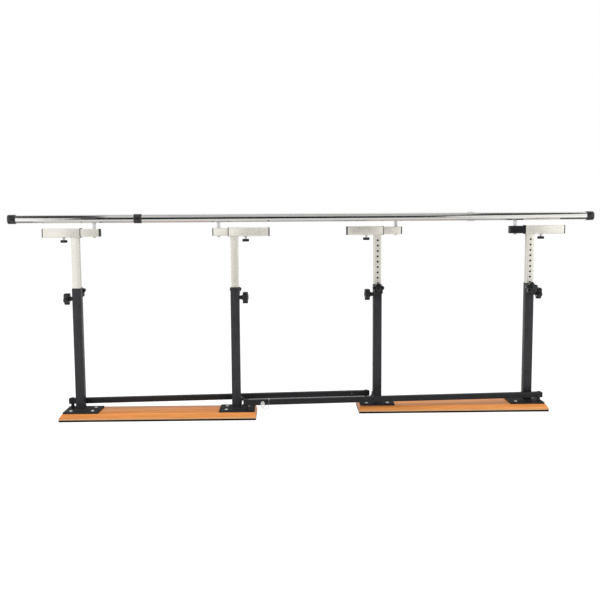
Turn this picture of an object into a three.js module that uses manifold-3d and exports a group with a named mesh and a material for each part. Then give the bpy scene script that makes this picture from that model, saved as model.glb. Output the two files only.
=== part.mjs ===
// Folding walking parallel bars for rehabilitation, folded flat.
//
// Two bevelled base boards each carry two telescoping posts. Every post ends in a sideways sleeve
// with a sliding arm, and a vertical pin on each arm carries a handrail. Two link bars near the
// floor join the boards. Boards, link bars and handrails form a parallelogram, so the whole machine
// folds flat in one swing. Turning it half a turn about the vertical through its middle gives the
// same machine, apart from the arms of the two rails, so one half is built and placed twice.
//
// Millimetres, +X along the boards, +Z up, the floor at z = 0.

import * as THREE from 'three';
import { mergeVertices } from 'three/addons/utils/BufferGeometryUtils.js';
import Module from 'manifold-3d';

const wasm = await Module();
wasm.setup();

// Facets around round forms
const railSides = 24;                 // also of the caps, so that their flats line up
const boltSides = 10;
const knobSides = 8;
const holeSides = 8;
const ringSides = 12;
const ringWireSides = 5;
const wireArcSteps = 4;
const cornerArcSteps = 1;
const mergeDistance = 1e-4;

// Fits
const seatGap = 0.3;                  // between two pieces that rest on each other
const slideClearance = 0.5;           // each side of a sliding square tube
const boltClearance = 0.4;            // around a bolt or screw in its hole
const cutOverrun = 1;                 // how far a cut runs past the face it opens
const weldDepth = 1;                  // how deep welded pieces run into each other

// Folding linkage
const linkSpan = 1380;                // between the two pivots of a link bar, and of a handrail
const postSpacing = 715;              // between the two posts of one board
const foldedRailGap = 1.913;          // between one rail's tube and the other's cap when folded

// Base boards and the rubber sheet below them
const rubberThickness = 4;
const rubberInset = 2;
const boardThickness = 28;
const boardWidth = 180;
const boardBevelWidth = 15;
const boardEndBevel = 12;             // the same at the end by the outer post
const boardMidBevel = 6;              // and at the end by the inner post
const boardEdgeHeight = 10;
const boardPastEndPost = 82;
const boardPastMidPost = 92;

// Foot plates
const plateLength = 162;
const endPlateShift = 11;             // the plate's middle from the outer post's centre, to the arm's side
const midPlateShift = -4;             // the same by the inner post
const plateWidth = 140;
const plateThickness = 5;
const plateCornerRadius = 8;
const plateBoltX = 49;                // from the plate's middle to the corner bolts
const plateBoltY = 36;
const plateBoltRadius = 8;
const plateBoltHeight = 4.5;
const plateBoltCrownShare = 0.55;     // flat top of a domed bolt head, as a share of its radius

// Black lower posts
const shellSize = 40;
const shellWall = 2;
const shellCornerRadius = 4;
const shellTop = 598;
const bossRadius = 9;
const bossLength = 8;
const clampDrop = 48;                 // clamp screw below the top of the post
const indexDrop = 20;                 // index pin below the top of the post

// Bright upper posts
const slideWall = 1.8;
const slideCornerRadius = 3;
const slideInsertion = 340;           // length hidden in the lower post when folded
const holePitch = 25;
const holeRadius = 4.8;
const holesBelowIndex = 4;

// Sleeves and sliding arms
const sleeveHeight = 848;             // centre line above the floor
const sleeveInwardEnd = 24;           // past the post's centre
const rearSleeveEnd = 142;            // from the post's centre outwards, rear handrail
const frontSleeveEnd = 157;           // the same, front handrail
const armHiddenLength = 166;          // arm behind its rail pin
const armTipLength = 24;              // arm past its rail pin
const rearReach = 86;                 // rail pin from the post's centre, rear handrail
const frontReach = 70;                // the same, front handrail
const capThickness = 3;
const capPlugDepth = 14;
const capPlugClearance = 0.3;
const bushThickness = 2.5;
const bushLip = 1;                    // how far the bush stands out past the sleeve

// Screws that lock the arms
const armScrewOffset = 52;            // outward from the post's centre
const armScrewRadius = 4;
const armScrewBossRadius = 7;
const armScrewBossHeight = 6;
const armScrewNeck = 6;               // bare stem between the boss and the disc
const discRadius = 15.5;
const discThickness = 12;
const discRim = 2;

// Star knobs
const knobRadius = 28;
const knobLobes = 5;
const knobPointsPerLobe = 4;
const knobScallop = 7;                // depth of the hollows between the lobes
const knobThickness = 24;
const knobEdge = 3;
const knobStandOff = 15;              // from the post's face to the back of the star
const knobCrownRadius = 13;
const knobCrownHeight = 3;
const knobHubRadius = 11;
const knobStemRadius = 4;

// Handrails
const railRadius = 19;
const railWall = 2;
const railLength = 2134;              // over its rubber caps
const railPinRadius = 5;
const railPinEntry = 8;               // pin inside the rail
const railPivotClearance = 1;
const railSpacerRadius = 8.5;
const railSpacerHeight = 25;
const railPinHeadRadius = 8;
const railPinHeadHeight = 5;
const railCapRadius = 21;
const railCapLength = 36;
const railCapFloor = 4;
const railCapEdge = 4;                // radius of the rounded edge around its end
const roundingShare = 0.3;            // where a two-step rounding has its middle corner

// Link bars
const linkSize = 25;
const linkWall = 2;
const linkCornerRadius = 2.5;
const linkPivotX = 48;                // from the post's centre, outwards along the board
const linkPastPivot = 15;
const linkPlug = 5;
const linkLift = 20;                  // underside above the foot plates
const pivotRadius = 5;
const pivotClearance = 1;
const pivotSpacerRadius = 7.5;
const pivotNutRadius = 9.5;
const pivotNutHeight = 9;
const pivotHeadRadius = 9;
const pivotHeadHeight = 3.5;

// Lock pins, their latches and lanyards
const lockOffset = 72;                // from the inner pivot to the lock pin
const lockPinRadius = 4;
const lockStroke = 13;                // from the stored place in to the latch
const lockHeadRadius = 9;
const lockHeadThickness = 4;
const lockNeckRadius = 4.5;
const lockNeckLength = 7;
const lockRingRadius = 8;
const lockRingWire = 1.5;
const latchThickness = 4.5;
const latchRadius = 13;
const latchCornerRadius = 1;
const latchFootShare = 0.8;           // how far the strap reaches across half the post's face
const latchBushRadius = 8;
const latchGap = 1.5;                 // between the latch bush and the unfolded link bar
const lanyardRadius = 1;
const lanyardSteps = 20;
const lanyardRivetOffset = 101;       // from the inner pivot
const lanyardRivetRadius = 4;
const lanyardRivetHeight = 2;

// Heights and places that follow from the sizes
const boardBottom = rubberThickness + seatGap;
const plateBottom = boardBottom + boardThickness + seatGap;
const plateTop = plateBottom + plateThickness;
const slideSize = shellSize - 2 * shellWall - 2 * slideClearance;
const sleeveSize = slideSize + 2 * slideClearance + 2 * shellWall;
const armSize = slideSize;
const clampHeight = shellTop - clampDrop;
const indexHeight = shellTop - indexDrop;
const slideBottom = shellTop - slideInsertion;
const sleeveBottom = sleeveHeight - sleeveSize / 2;
const armTop = sleeveHeight + armSize / 2;
const armBottom = sleeveHeight - armSize / 2;
const railHeight = armTop + seatGap + railSpacerHeight + seatGap + railRadius;
const linkBottom = plateTop + linkLift;
const linkHeight = linkBottom + linkSize / 2;
const linkTop = linkBottom + linkSize;
const shellFace = shellSize / 2;
const shellBore = shellFace - shellWall;
const slideFace = slideSize / 2;
const tipGap = slideClearance / 2;
const halfTurn = Math.PI;
const foldedAngle = Math.asin(
  (railRadius + railCapRadius + foldedRailGap) / (postSpacing - rearReach - frontReach));
const holesAboveIndex = Math.floor((sleeveBottom - weldDepth - holeRadius - indexHeight) / holePitch);

// Finishes
const finish = (color, roughness, metalness) => {
  return new THREE.MeshStandardMaterial({ color, roughness, metalness });
};
const varnishedWood = finish(0xd98a45, 0.35, 0);
const blackRubber = finish(0x1c1b1c, 0.85, 0);
const blackSteel = finish(0x3b383e, 0.45, 0.2);
const brightSteel = finish(0xe8e2d8, 0.25, 0.9);
const darkSteel = finish(0x2c2b33, 0.4, 0.4);
const chrome = finish(0xd5d3d0, 0.12, 1);
const zinc = finish(0xb9bbbd, 0.35, 0.9);
const blackPlastic = finish(0x151517, 0.5, 0);

// Solids: joining and cutting

function solidOf(geometry) {
  const bare = geometry.clone();
  bare.deleteAttribute('normal');
  bare.deleteAttribute('uv');
  const merged = mergeVertices(bare, mergeDistance);
  const vertProperties = new Float32Array(merged.attributes.position.array);
  const triVerts = new Uint32Array(merged.index.array);
  return new wasm.Manifold(new wasm.Mesh({ numProp: 3, vertProperties, triVerts }));
}

function geometryOf(solid) {
  const mesh = solid.getMesh();
  const geometry = new THREE.BufferGeometry();
  geometry.setAttribute('position', new THREE.BufferAttribute(new Float32Array(mesh.vertProperties), 3));
  geometry.setIndex(new THREE.BufferAttribute(new Uint32Array(mesh.triVerts), 1));
  geometry.computeVertexNormals();
  return geometry;
}

const join = (first, ...others) => others.reduce((whole, piece) => whole.add(piece), first);
const cut = (first, ...tools) => tools.reduce((rest, tool) => rest.subtract(tool), first);

// Turns that carry a shape made along +Z onto another axis
const alongX = new THREE.Matrix4().makeRotationY(halfTurn / 2);
const alongY = new THREE.Matrix4().makeRotationX(-halfTurn / 2);
const againstX = new THREE.Matrix4().makeRotationY(-halfTurn / 2);
const alongZ = new THREE.Matrix4();

// A round rod whose axis starts at the given point and runs along the given axis
function rod(radius, start, length, axis = alongZ, sides = boltSides) {
  const geometry = new THREE.CylinderGeometry(radius, radius, Math.abs(length), sides);
  geometry.rotateX(halfTurn / 2);
  geometry.translate(0, 0, length / 2);
  geometry.applyMatrix4(axis);
  geometry.translate(...start);
  return solidOf(geometry);
}

// A turned piece: the profile lists [radius, height] pairs from the axis back to the axis
function turned(profile, start, axis = alongZ, sides = boltSides) {
  const points = profile.map(([radius, height]) => new THREE.Vector2(radius, height));
  const geometry = new THREE.LatheGeometry(points, sides);
  geometry.rotateX(halfTurn / 2);
  geometry.applyMatrix4(axis);
  geometry.translate(...start);
  return solidOf(geometry);
}

function roundedRectangle(width, height, radius) {
  const [x, y] = [width / 2, height / 2];
  const outline = new THREE.Shape();
  outline.absarc(x - radius, y - radius, radius, 0, halfTurn / 2);
  outline.absarc(radius - x, y - radius, radius, halfTurn / 2, halfTurn);
  outline.absarc(radius - x, radius - y, radius, halfTurn, 1.5 * halfTurn);
  outline.absarc(x - radius, radius - y, radius, 1.5 * halfTurn, 2 * halfTurn);
  outline.closePath();
  return outline;
}

// A plate or bar with rounded corners, its section across the axis, starting at the given point
function roundedBar(width, height, radius, start, length, axis = alongZ) {
  const settings = { depth: Math.abs(length), bevelEnabled: false, curveSegments: cornerArcSteps };
  const geometry = new THREE.ExtrudeGeometry(roundedRectangle(width, height, radius), settings);
  geometry.translate(0, 0, Math.min(length, 0));
  geometry.applyMatrix4(axis);
  geometry.translate(...start);
  return solidOf(geometry);
}

// A square tube with rounded corners, open at both ends
function squareTube(size, wall, radius, start, length, axis = alongZ) {
  const outline = roundedRectangle(size, size, radius);
  outline.holes.push(roundedRectangle(size - 2 * wall, size - 2 * wall, Math.max(radius - wall, wall / 2)));
  const settings = { depth: Math.abs(length), bevelEnabled: false, curveSegments: cornerArcSteps };
  const geometry = new THREE.ExtrudeGeometry(outline, settings);
  geometry.translate(0, 0, Math.min(length, 0));
  geometry.applyMatrix4(axis);
  geometry.translate(...start);
  return solidOf(geometry);
}

// A solid through a stack of level rectangles, each [x0, x1, y0, y1, z]
function stackedLoft(levels) {
  const corners = levels.flatMap(([x0, x1, y0, y1, z]) => [
    [x0, y0, z], [x1, y0, z], [x1, y1, z], [x0, y1, z],
  ]);
  const faces = [];
  for (let level = 0; level < levels.length - 1; level += 1) {
    for (let side = 0; side < 4; side += 1) {
      const [a, b] = [4 * level + side, 4 * level + ((side + 1) % 4)];
      faces.push(a, b, b + 4, a, b + 4, a + 4);
    }
  }
  const last = 4 * (levels.length - 1);
  faces.push(0, 2, 1, 0, 3, 2, last, last + 1, last + 2, last, last + 2, last + 3);
  const geometry = new THREE.BufferGeometry();
  geometry.setAttribute('position', new THREE.Float32BufferAttribute(corners.flat(), 3));
  geometry.setIndex(faces);
  return solidOf(geometry);
}

function named(name, solid, material) {
  const mesh = new THREE.Mesh(geometryOf(solid), material);
  mesh.name = name;
  return mesh;
}

// Base board with its rubber sheet

function baseBoard(side) {
  const [x0, x1] = [-postSpacing / 2 - boardPastEndPost, postSpacing / 2 + boardPastMidPost];
  const y = boardWidth / 2;
  const bevel = boardBevelWidth;
  const edgeTop = boardBottom + boardEdgeHeight;
  const wood = stackedLoft([
    [x0, x1, -y, y, boardBottom],
    [x0, x1, -y, y, edgeTop],
    [x0 + boardEndBevel, x1 - boardMidBevel, bevel - y, y - bevel, boardBottom + boardThickness],
  ]);
  const inset = rubberInset;
  const sheet = stackedLoft([
    [x0 + inset, x1 - inset, inset - y, y - inset, 0],
    [x0 + inset, x1 - inset, inset - y, y - inset, rubberThickness],
  ]);
  return [
    named(`base_board_${side}`, wood, varnishedWood),
    named(`rubber_sheet_${side}`, sheet, blackRubber),
  ];
}

// Lower post: foot plate, square tube, two screw bosses, three bolt heads and, by the inner post of
// each board, the latch that a lock pin enters once the bars are unfolded

function boltHead(x, y) {
  const crown = plateBoltRadius * plateBoltCrownShare;
  const middle = plateBoltHeight / 2;
  return turned([
    [0, -weldDepth], [plateBoltRadius, -weldDepth], [plateBoltRadius, middle],
    [crown, plateBoltHeight], [0, plateBoltHeight],
  ], [x, y, plateTop], alongZ, holeSides);
}

function latch(outward) {
  const eyeY = lockOffset - plateBoltY;
  const footY = -shellFace * latchFootShare;
  const depth = outward * (latchThickness + weldDepth);
  const startX = outward * (shellFace - weldDepth);
  const strap = roundedBar(2 * latchRadius, eyeY - footY, latchCornerRadius,
    [startX, (eyeY + footY) / 2, linkHeight], depth, alongX);
  const eye = rod(latchRadius, [startX, eyeY, linkHeight], depth, alongX);
  const bushLength = linkPivotX - linkSize / 2 - latchGap - shellFace;
  const bush = rod(latchBushRadius, [outward * shellFace, eyeY, linkHeight], outward * bushLength, alongX);
  return join(strap, eye, bush);
}

function lowerPost(name, place) {
  const outward = -place.inward;
  const plateStart = [place.inward * place.plateShift, 0, plateBottom];
  const plate = roundedBar(plateLength, plateWidth, plateCornerRadius, plateStart, plateThickness);
  const tubeLength = shellTop - plateTop + weldDepth;
  const tube = squareTube(shellSize, shellWall, shellCornerRadius, [0, 0, plateTop - weldDepth], tubeLength);
  const bossRun = bossLength + weldDepth;
  const bossStart = shellFace - weldDepth;
  const clampBoss = rod(bossRadius, [outward * bossStart, 0, clampHeight], outward * bossRun, alongX);
  const indexBoss = rod(bossRadius, [0, bossStart, indexHeight], bossRun, alongY);
  const heads = [[-1, -1], [-1, 1], [1, -1], [1, 1]]
    .filter(([sx, sy]) => !(sx === outward && sy === -outward))
    .map(([sx, sy]) => boltHead(place.inward * place.plateShift + sx * plateBoltX, sy * plateBoltY));
  let body = join(plate, tube, clampBoss, indexBoss, ...heads);
  if (place.hasLatch) {
    body = join(body, latch(outward));
  }
  const screwHole = knobStemRadius + boltClearance;
  const drillRun = shellWall + bossLength + 2 * cutOverrun;
  const drillStart = shellBore - cutOverrun;
  body = cut(
    body,
    rod(screwHole, [outward * drillStart, 0, clampHeight], outward * drillRun, alongX, holeSides),
    rod(screwHole, [0, drillStart, indexHeight], drillRun, alongY, holeSides),
  );
  if (place.hasLatch) {
    const start = [outward * (shellFace - weldDepth - cutOverrun), lockOffset - plateBoltY, linkHeight];
    body = cut(body, rod(lockPinRadius + boltClearance, start, outward * linkPivotX, alongX, holeSides));
  }
  return named(`post_shell_${name}`, body, blackSteel);
}

// Upper post: square tube with its row of index holes, welded under the sleeve that holds the arm

function upperPost(name, place) {
  const outward = -place.inward;
  const postLength = sleeveBottom + weldDepth - slideBottom;
  const post = squareTube(slideSize, slideWall, slideCornerRadius, [0, 0, slideBottom], postLength);
  const sleeveLength = sleeveInwardEnd + place.sleeveEnd;
  const sleeveStart = [-outward * sleeveInwardEnd, 0, sleeveHeight];
  const sleeve = squareTube(sleeveSize, shellWall, shellCornerRadius, sleeveStart,
    outward * sleeveLength, alongX);
  const bossBottom = sleeveBottom - armScrewBossHeight;
  const screwX = outward * armScrewOffset;
  const boss = rod(armScrewBossRadius, [screwX, 0, bossBottom], armScrewBossHeight + weldDepth);
  const holes = [];
  for (let step = -holesBelowIndex; step <= holesAboveIndex; step += 1) {
    const z = indexHeight + step * holePitch;
    const start = [0, slideFace - slideWall - cutOverrun, z];
    holes.push(rod(holeRadius, start, slideWall + 2 * cutOverrun, alongY, holeSides));
  }
  const screwHole = armScrewRadius + boltClearance;
  const drillRun = armScrewBossHeight + shellWall + 2 * cutOverrun;
  const drill = rod(screwHole, [screwX, 0, bossBottom - cutOverrun], drillRun, alongZ, holeSides);
  const body = cut(join(post, sleeve, boss), ...holes, drill);
  return named(`post_slide_${name}`, body, brightSteel);
}

// Plastic cap for a square tube: a plate over the end and a plug inside it

function plugCap(size, wall, radius, end, direction) {
  const plateStart = [end + direction * seatGap, 0, sleeveHeight];
  const plate = roundedBar(size, size, radius, plateStart, direction * capThickness, alongX);
  const plugSize = size - 2 * wall - 2 * capPlugClearance;
  const plugStart = [end - direction * capPlugDepth, 0, sleeveHeight];
  const plugRun = direction * (capPlugDepth + seatGap + capThickness / 2);
  const plug = roundedBar(plugSize, plugSize, wall / 2, plugStart, plugRun, alongX);
  return join(plate, plug);
}

function armParts(name, place) {
  const { inward, reach } = place;
  const tip = inward * (reach + armTipLength);
  const tubeLength = armHiddenLength + armTipLength;
  const tube = squareTube(armSize, slideWall, slideCornerRadius, [tip, 0, sleeveHeight],
    -inward * tubeLength, alongX);
  const pinHole = rod(railPinRadius + boltClearance, [inward * reach, 0, armBottom - cutOverrun],
    armSize + 2 * cutOverrun, alongZ, holeSides);
  const armMaterial = place.darkArm ? darkSteel : brightSteel;
  const bushStart = inward * (sleeveInwardEnd + seatGap);
  const bushSize = sleeveSize + 2 * bushLip;
  const ring = roundedBar(bushSize, bushSize, shellCornerRadius, [bushStart, 0, sleeveHeight],
    inward * bushThickness, alongX);
  const mouthSize = armSize + 2 * slideClearance;
  const mouth = roundedBar(mouthSize, mouthSize, slideCornerRadius,
    [bushStart - inward * cutOverrun, 0, sleeveHeight], inward * (bushThickness + 2 * cutOverrun), alongX);
  return [
    named(`arm_tube_${name}`, cut(tube, pinHole), armMaterial),
    named(`arm_cap_${name}`, plugCap(armSize, slideWall, slideCornerRadius, tip, inward), blackPlastic),
    named(`arm_bush_${name}`, cut(ring, mouth), blackPlastic),
    named(`sleeve_cap_${name}`,
      plugCap(sleeveSize, shellWall, shellCornerRadius, -inward * place.sleeveEnd, -inward), blackPlastic),
  ];
}

// Screw with a disc head under the sleeve. Its tip stops just short of the arm
function armScrew(name, place) {
  const tip = armBottom - tipGap;
  const discTop = sleeveBottom - armScrewBossHeight - armScrewNeck;
  const discBottom = discTop - discThickness;
  const profile = [
    [0, discBottom], [discRadius - discRim, discBottom], [discRadius, discBottom + discRim],
    [discRadius, discTop - discRim], [discRadius - discRim, discTop],
    [armScrewRadius, discTop], [armScrewRadius, tip], [0, tip],
  ];
  return named(`arm_screw_${name}`, turned(profile, [-place.inward * armScrewOffset, 0, 0]), blackPlastic);
}

// Upright bolt through the arm with the spacer that carries the rail
function railPin(name, place) {
  const headTop = armBottom - seatGap;
  const spacerBottom = armTop + seatGap;
  const spacerTop = spacerBottom + railSpacerHeight;
  const crown = railPinHeadRadius * plateBoltCrownShare;
  const top = spacerTop + seatGap + railWall + railPinEntry;
  const profile = [
    [0, headTop - railPinHeadHeight], [crown, headTop - railPinHeadHeight], [railPinHeadRadius, headTop],
    [railPinRadius, headTop], [railPinRadius, spacerBottom], [railSpacerRadius, spacerBottom],
    [railSpacerRadius, spacerTop], [railPinRadius, spacerTop], [railPinRadius, top], [0, top],
  ];
  return named(`rail_pin_${name}`, turned(profile, [place.inward * place.reach, 0, 0]), zinc);
}

// Star knob on a screw, made along +Z from the post's centre line outwards

function starOutline(firstLobe) {
  const count = knobLobes * knobPointsPerLobe;
  const outer = knobRadius - knobEdge;
  const points = Array.from({ length: count }, (_, index) => {
    const turn = (2 * halfTurn * index) / count;
    const radius = outer - (knobScallop * (1 - Math.cos(knobLobes * turn))) / 2;
    return new THREE.Vector2(radius * Math.cos(firstLobe + turn), radius * Math.sin(firstLobe + turn));
  });
  return new THREE.Shape(points);
}

function starKnob(name, tip, hubLength, origin, axis, firstLobe) {
  const back = shellFace + knobStandOff;
  const settings = {
    depth: knobThickness - 2 * knobEdge, bevelThickness: knobEdge, bevelSize: knobEdge, bevelSegments: 1,
  };
  const star = new THREE.ExtrudeGeometry(starOutline(firstLobe), settings);
  star.translate(0, 0, back + knobEdge);
  star.applyMatrix4(axis);
  star.translate(...origin);
  const front = back + knobThickness;
  const middle = back + knobThickness / 2;
  const core = turned([
    [0, tip], [knobStemRadius, tip], [knobStemRadius, back - hubLength], [knobHubRadius, back - hubLength],
    [knobHubRadius, middle], [knobCrownRadius, middle], [knobCrownRadius, front],
    [knobCrownRadius / 2, front + knobCrownHeight], [0, front + knobCrownHeight],
  ], origin, axis, knobSides);
  return named(name, join(solidOf(star), core), blackPlastic);
}

// The clamp knob rests with one lobe down, the index knob with one lobe up
function postKnobs(name, place) {
  const outwardAxis = place.inward > 0 ? againstX : alongX;
  const lobeDown = place.inward > 0 ? halfTurn : 0;
  const lobeUp = -halfTurn / 2;
  const clampTip = slideFace + tipGap;
  const clampHub = knobStandOff - bossLength - seatGap;
  const indexTip = slideFace + tipGap;
  return [
    starKnob(`clamp_knob_${name}`, clampTip, clampHub, [0, 0, clampHeight], outwardAxis, lobeDown),
    starKnob(`index_knob_${name}`, indexTip, seatGap, [0, 0, indexHeight], alongY, lobeUp),
  ];
}

// Pivot bolt of a link bar: nut, spacer, shank and head on one corner of the foot plate
function pivotBolt(name, place) {
  const bottom = plateTop + seatGap;
  const nutTop = bottom + pivotNutHeight;
  const spacerTop = linkBottom - seatGap;
  const headBottom = linkTop + seatGap;
  const headTop = headBottom + pivotHeadHeight;
  const profile = [
    [0, bottom], [pivotNutRadius, bottom], [pivotNutRadius, nutTop], [pivotSpacerRadius, nutTop],
    [pivotSpacerRadius, spacerTop], [pivotRadius, spacerTop], [pivotRadius, headBottom],
    [pivotHeadRadius, headBottom], [pivotHeadRadius * plateBoltCrownShare, headTop], [0, headTop],
  ];
  const corner = [-place.inward * linkPivotX, place.inward * plateBoltY, 0];
  return named(`pivot_bolt_${name}`, turned(profile, corner), zinc);
}

function post(name, place) {
  const group = new THREE.Group();
  group.position.x = place.x;
  group.add(
    lowerPost(name, place),
    upperPost(name, place),
    ...armParts(name, place),
    armScrew(name, place),
    railPin(name, place),
    ...postKnobs(name, place),
    pivotBolt(name, place),
  );
  return group;
}

// What differs between the posts of the two handrails
const rearArm = { reach: rearReach, sleeveEnd: rearSleeveEnd };
const frontArm = { reach: frontReach, sleeveEnd: frontSleeveEnd };

// One base: board, rubber sheet and two posts, about the middle between the posts
function base(side, endArm, midArm, darkEndArm) {
  const group = new THREE.Group();
  const endPost = {
    x: -postSpacing / 2, inward: 1, plateShift: endPlateShift, hasLatch: false,
    darkArm: darkEndArm, ...endArm,
  };
  const midPost = {
    x: postSpacing / 2, inward: -1, plateShift: midPlateShift, hasLatch: true,
    darkArm: false, ...midArm,
  };
  group.add(...baseBoard(side), post(`${side}_end`, endPost), post(`${side}_mid`, midPost));
  return group;
}

// Handrail along X about its middle, with a pin hole over each arm and a rubber cap over each end

function railCap() {
  const inner = railRadius + seatGap;
  const rounding = railCapEdge * roundingShare;
  return [
    [0, 0], [railCapRadius - railCapEdge, 0], [railCapRadius - rounding, rounding],
    [railCapRadius, railCapEdge], [railCapRadius, railCapLength], [inner, railCapLength],
    [inner, railCapFloor], [0, railCapFloor],
  ];
}

function handrail(name, capNames) {
  const group = new THREE.Group();
  const half = railLength / 2;
  const tubeHalf = half - railCapFloor - seatGap;
  const outer = rod(railRadius, [-tubeHalf, 0, 0], 2 * tubeHalf, alongX, railSides);
  const bore = rod(railRadius - railWall, [-half, 0, 0], 2 * half, alongX, railSides);
  const pinHoles = [-1, 1].map((end) => rod(railPinRadius + railPivotClearance,
    [end * linkSpan / 2, 0, -railRadius - cutOverrun], railRadius, alongZ, holeSides));
  const tube = cut(outer, bore, ...pinHoles);
  const toRight = turned(railCap(), [-half, 0, 0], alongX, railSides);
  const toLeft = turned(railCap(), [half, 0, 0], againstX, railSides);
  group.add(
    named(name, tube, chrome),
    named(capNames[0], toRight, blackRubber),
    named(capNames[1], toLeft, blackRubber),
  );
  group.position.z = railHeight;
  return group;
}

// Link bar along X about its middle. Its lock pin stands near the pivot at +X

function linkBar(name) {
  const half = linkSpan / 2 + linkPastPivot;
  const tube = squareTube(linkSize, linkWall, linkCornerRadius, [-half, 0, linkHeight], 2 * half, alongX);
  const plugSize = linkSize - linkWall;
  const plugs = [-1, 1].map((end) => roundedBar(plugSize, plugSize, linkWall / 2,
    [end * half, 0, linkHeight], -end * linkPlug, alongX));
  const rivetX = linkSpan / 2 - lanyardRivetOffset;
  const rivet = rod(lanyardRivetRadius, [rivetX, 0, linkTop - weldDepth],
    lanyardRivetHeight + weldDepth, alongZ, holeSides);
  const pivots = [-1, 1].map((end) => rod(pivotRadius + pivotClearance,
    [end * linkSpan / 2, 0, linkBottom - cutOverrun], linkSize + 2 * cutOverrun, alongZ, holeSides));
  const lockX = linkSpan / 2 - lockOffset;
  const lockHole = rod(lockPinRadius + boltClearance, [lockX, -linkSize / 2 - cutOverrun, linkHeight],
    linkSize + 2 * cutOverrun, alongY, holeSides);
  return named(name, cut(join(tube, ...plugs, rivet), ...pivots, lockHole), blackSteel);
}

// Lock pin with a head and a pull ring. Stored, its tip is level with the bar's far face
function lockPin(name) {
  const x = linkSpan / 2 - lockOffset;
  const face = linkSize / 2;
  const headStart = face + seatGap + lockStroke;
  const neckStart = headStart + lockHeadThickness;
  const shank = turned([
    [0, -face], [lockPinRadius, -face], [lockPinRadius, headStart], [lockHeadRadius, headStart],
    [lockHeadRadius, neckStart], [lockNeckRadius, neckStart],
    [lockNeckRadius, neckStart + lockNeckLength], [0, neckStart + lockNeckLength],
  ], [x, 0, linkHeight], alongY, knobSides);
  const ring = new THREE.TorusGeometry(lockRingRadius, lockRingWire, ringWireSides, ringSides);
  ring.rotateX(halfTurn / 2);
  ring.translate(x, neckStart + lockNeckLength / 2, linkHeight - lockRingRadius);
  return named(name, join(shank, solidOf(ring)), zinc);
}

// Thin wire from the pull ring down, along and up over the bar to its rivet. The points are measured
// from the inner pivot: along the bar, away from it, and up from the floor
const lanyardRoute = [
  [-72.0, 33.3, 52.3], [-72.2, 33.2, 49.4], [-74.0, 32.8, 46.0], [-77.4, 31.6, 43.6],
  [-82.0, 29.2, 42.5], [-87.0, 26.0, 42.2], [-92.0, 22.2, 42.9], [-96.2, 18.8, 45.2],
  [-99.0, 16.4, 49.0], [-100.4, 15.0, 54.2], [-101.0, 14.4, 60.4], [-101.2, 14.4, 67.0],
  [-101.2, 14.4, 74.0], [-101.1, 14.2, 80.0], [-101.0, 13.0, 83.4], [-101.0, 10.4, 84.6],
  [-101.0, 7.2, 84.2], [-101.0, 4.3, 84.0],
];

function lanyard(name) {
  const x = linkSpan / 2;
  const points = lanyardRoute.map(([along, away, up]) => new THREE.Vector3(x + along, away, up));
  const path = new THREE.CatmullRomCurve3(points);
  const section = new THREE.Shape();
  section.absarc(0, 0, lanyardRadius, 0, 2 * halfTurn);
  const settings = {
    extrudePath: path, steps: lanyardSteps, curveSegments: wireArcSteps, bevelEnabled: false,
  };
  return named(name, solidOf(new THREE.ExtrudeGeometry(section, settings)), zinc);
}

// The whole machine, shifted so that its middle over the rails is at x = 0

function standAt(group, x, y, turn) {
  group.position.x = x;
  group.position.y = y;
  group.rotation.z = turn;
  return group;
}

const machine = new THREE.Group();
const baseX = (linkSpan * Math.cos(foldedAngle)) / 2;
const baseY = (linkSpan * Math.sin(foldedAngle)) / 2;
const linkX = -postSpacing / 2 - linkPivotX;

machine.add(
  standAt(base('left', rearArm, frontArm, false), -baseX, -baseY, 0),
  standAt(base('right', frontArm, rearArm, true), baseX, baseY, halfTurn),
);

const rearRail = handrail('handrail_rear', ['rail_cap_rear_left', 'rail_cap_rear_right']);
const frontRail = handrail('handrail_front', ['rail_cap_front_right', 'rail_cap_front_left']);
machine.add(
  standAt(rearRail, rearReach - postSpacing / 2, 0, foldedAngle),
  standAt(frontRail, postSpacing / 2 - frontReach, 0, foldedAngle + halfTurn),
);

const rearLink = new THREE.Group();
rearLink.add(linkBar('link_bar_rear'), lockPin('lock_pin_rear'), lanyard('lanyard_rear'));
const frontLink = new THREE.Group();
frontLink.add(linkBar('link_bar_front'), lockPin('lock_pin_front'), lanyard('lanyard_front'));
machine.add(
  standAt(rearLink, linkX, plateBoltY, foldedAngle),
  standAt(frontLink, -linkX, -plateBoltY, foldedAngle + halfTurn),
);

machine.position.x = (frontReach - rearReach) / 2;
machine.updateMatrixWorld(true);

export default machine;
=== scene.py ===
"""Finished look of folding walking parallel bars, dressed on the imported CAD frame.

Shapes are written in millimetres in the place of their own part. Each mesh is carried to the
shared frame, in metres, when it is made, and rides on the CAD body of the node that it stands for.
"""

import logging
import math
from collections.abc import Iterable, Sequence
from dataclasses import dataclass, field
from enum import Enum, StrEnum
from typing import Protocol

import bmesh
import bpy
from mathutils import Matrix, Vector


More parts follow.
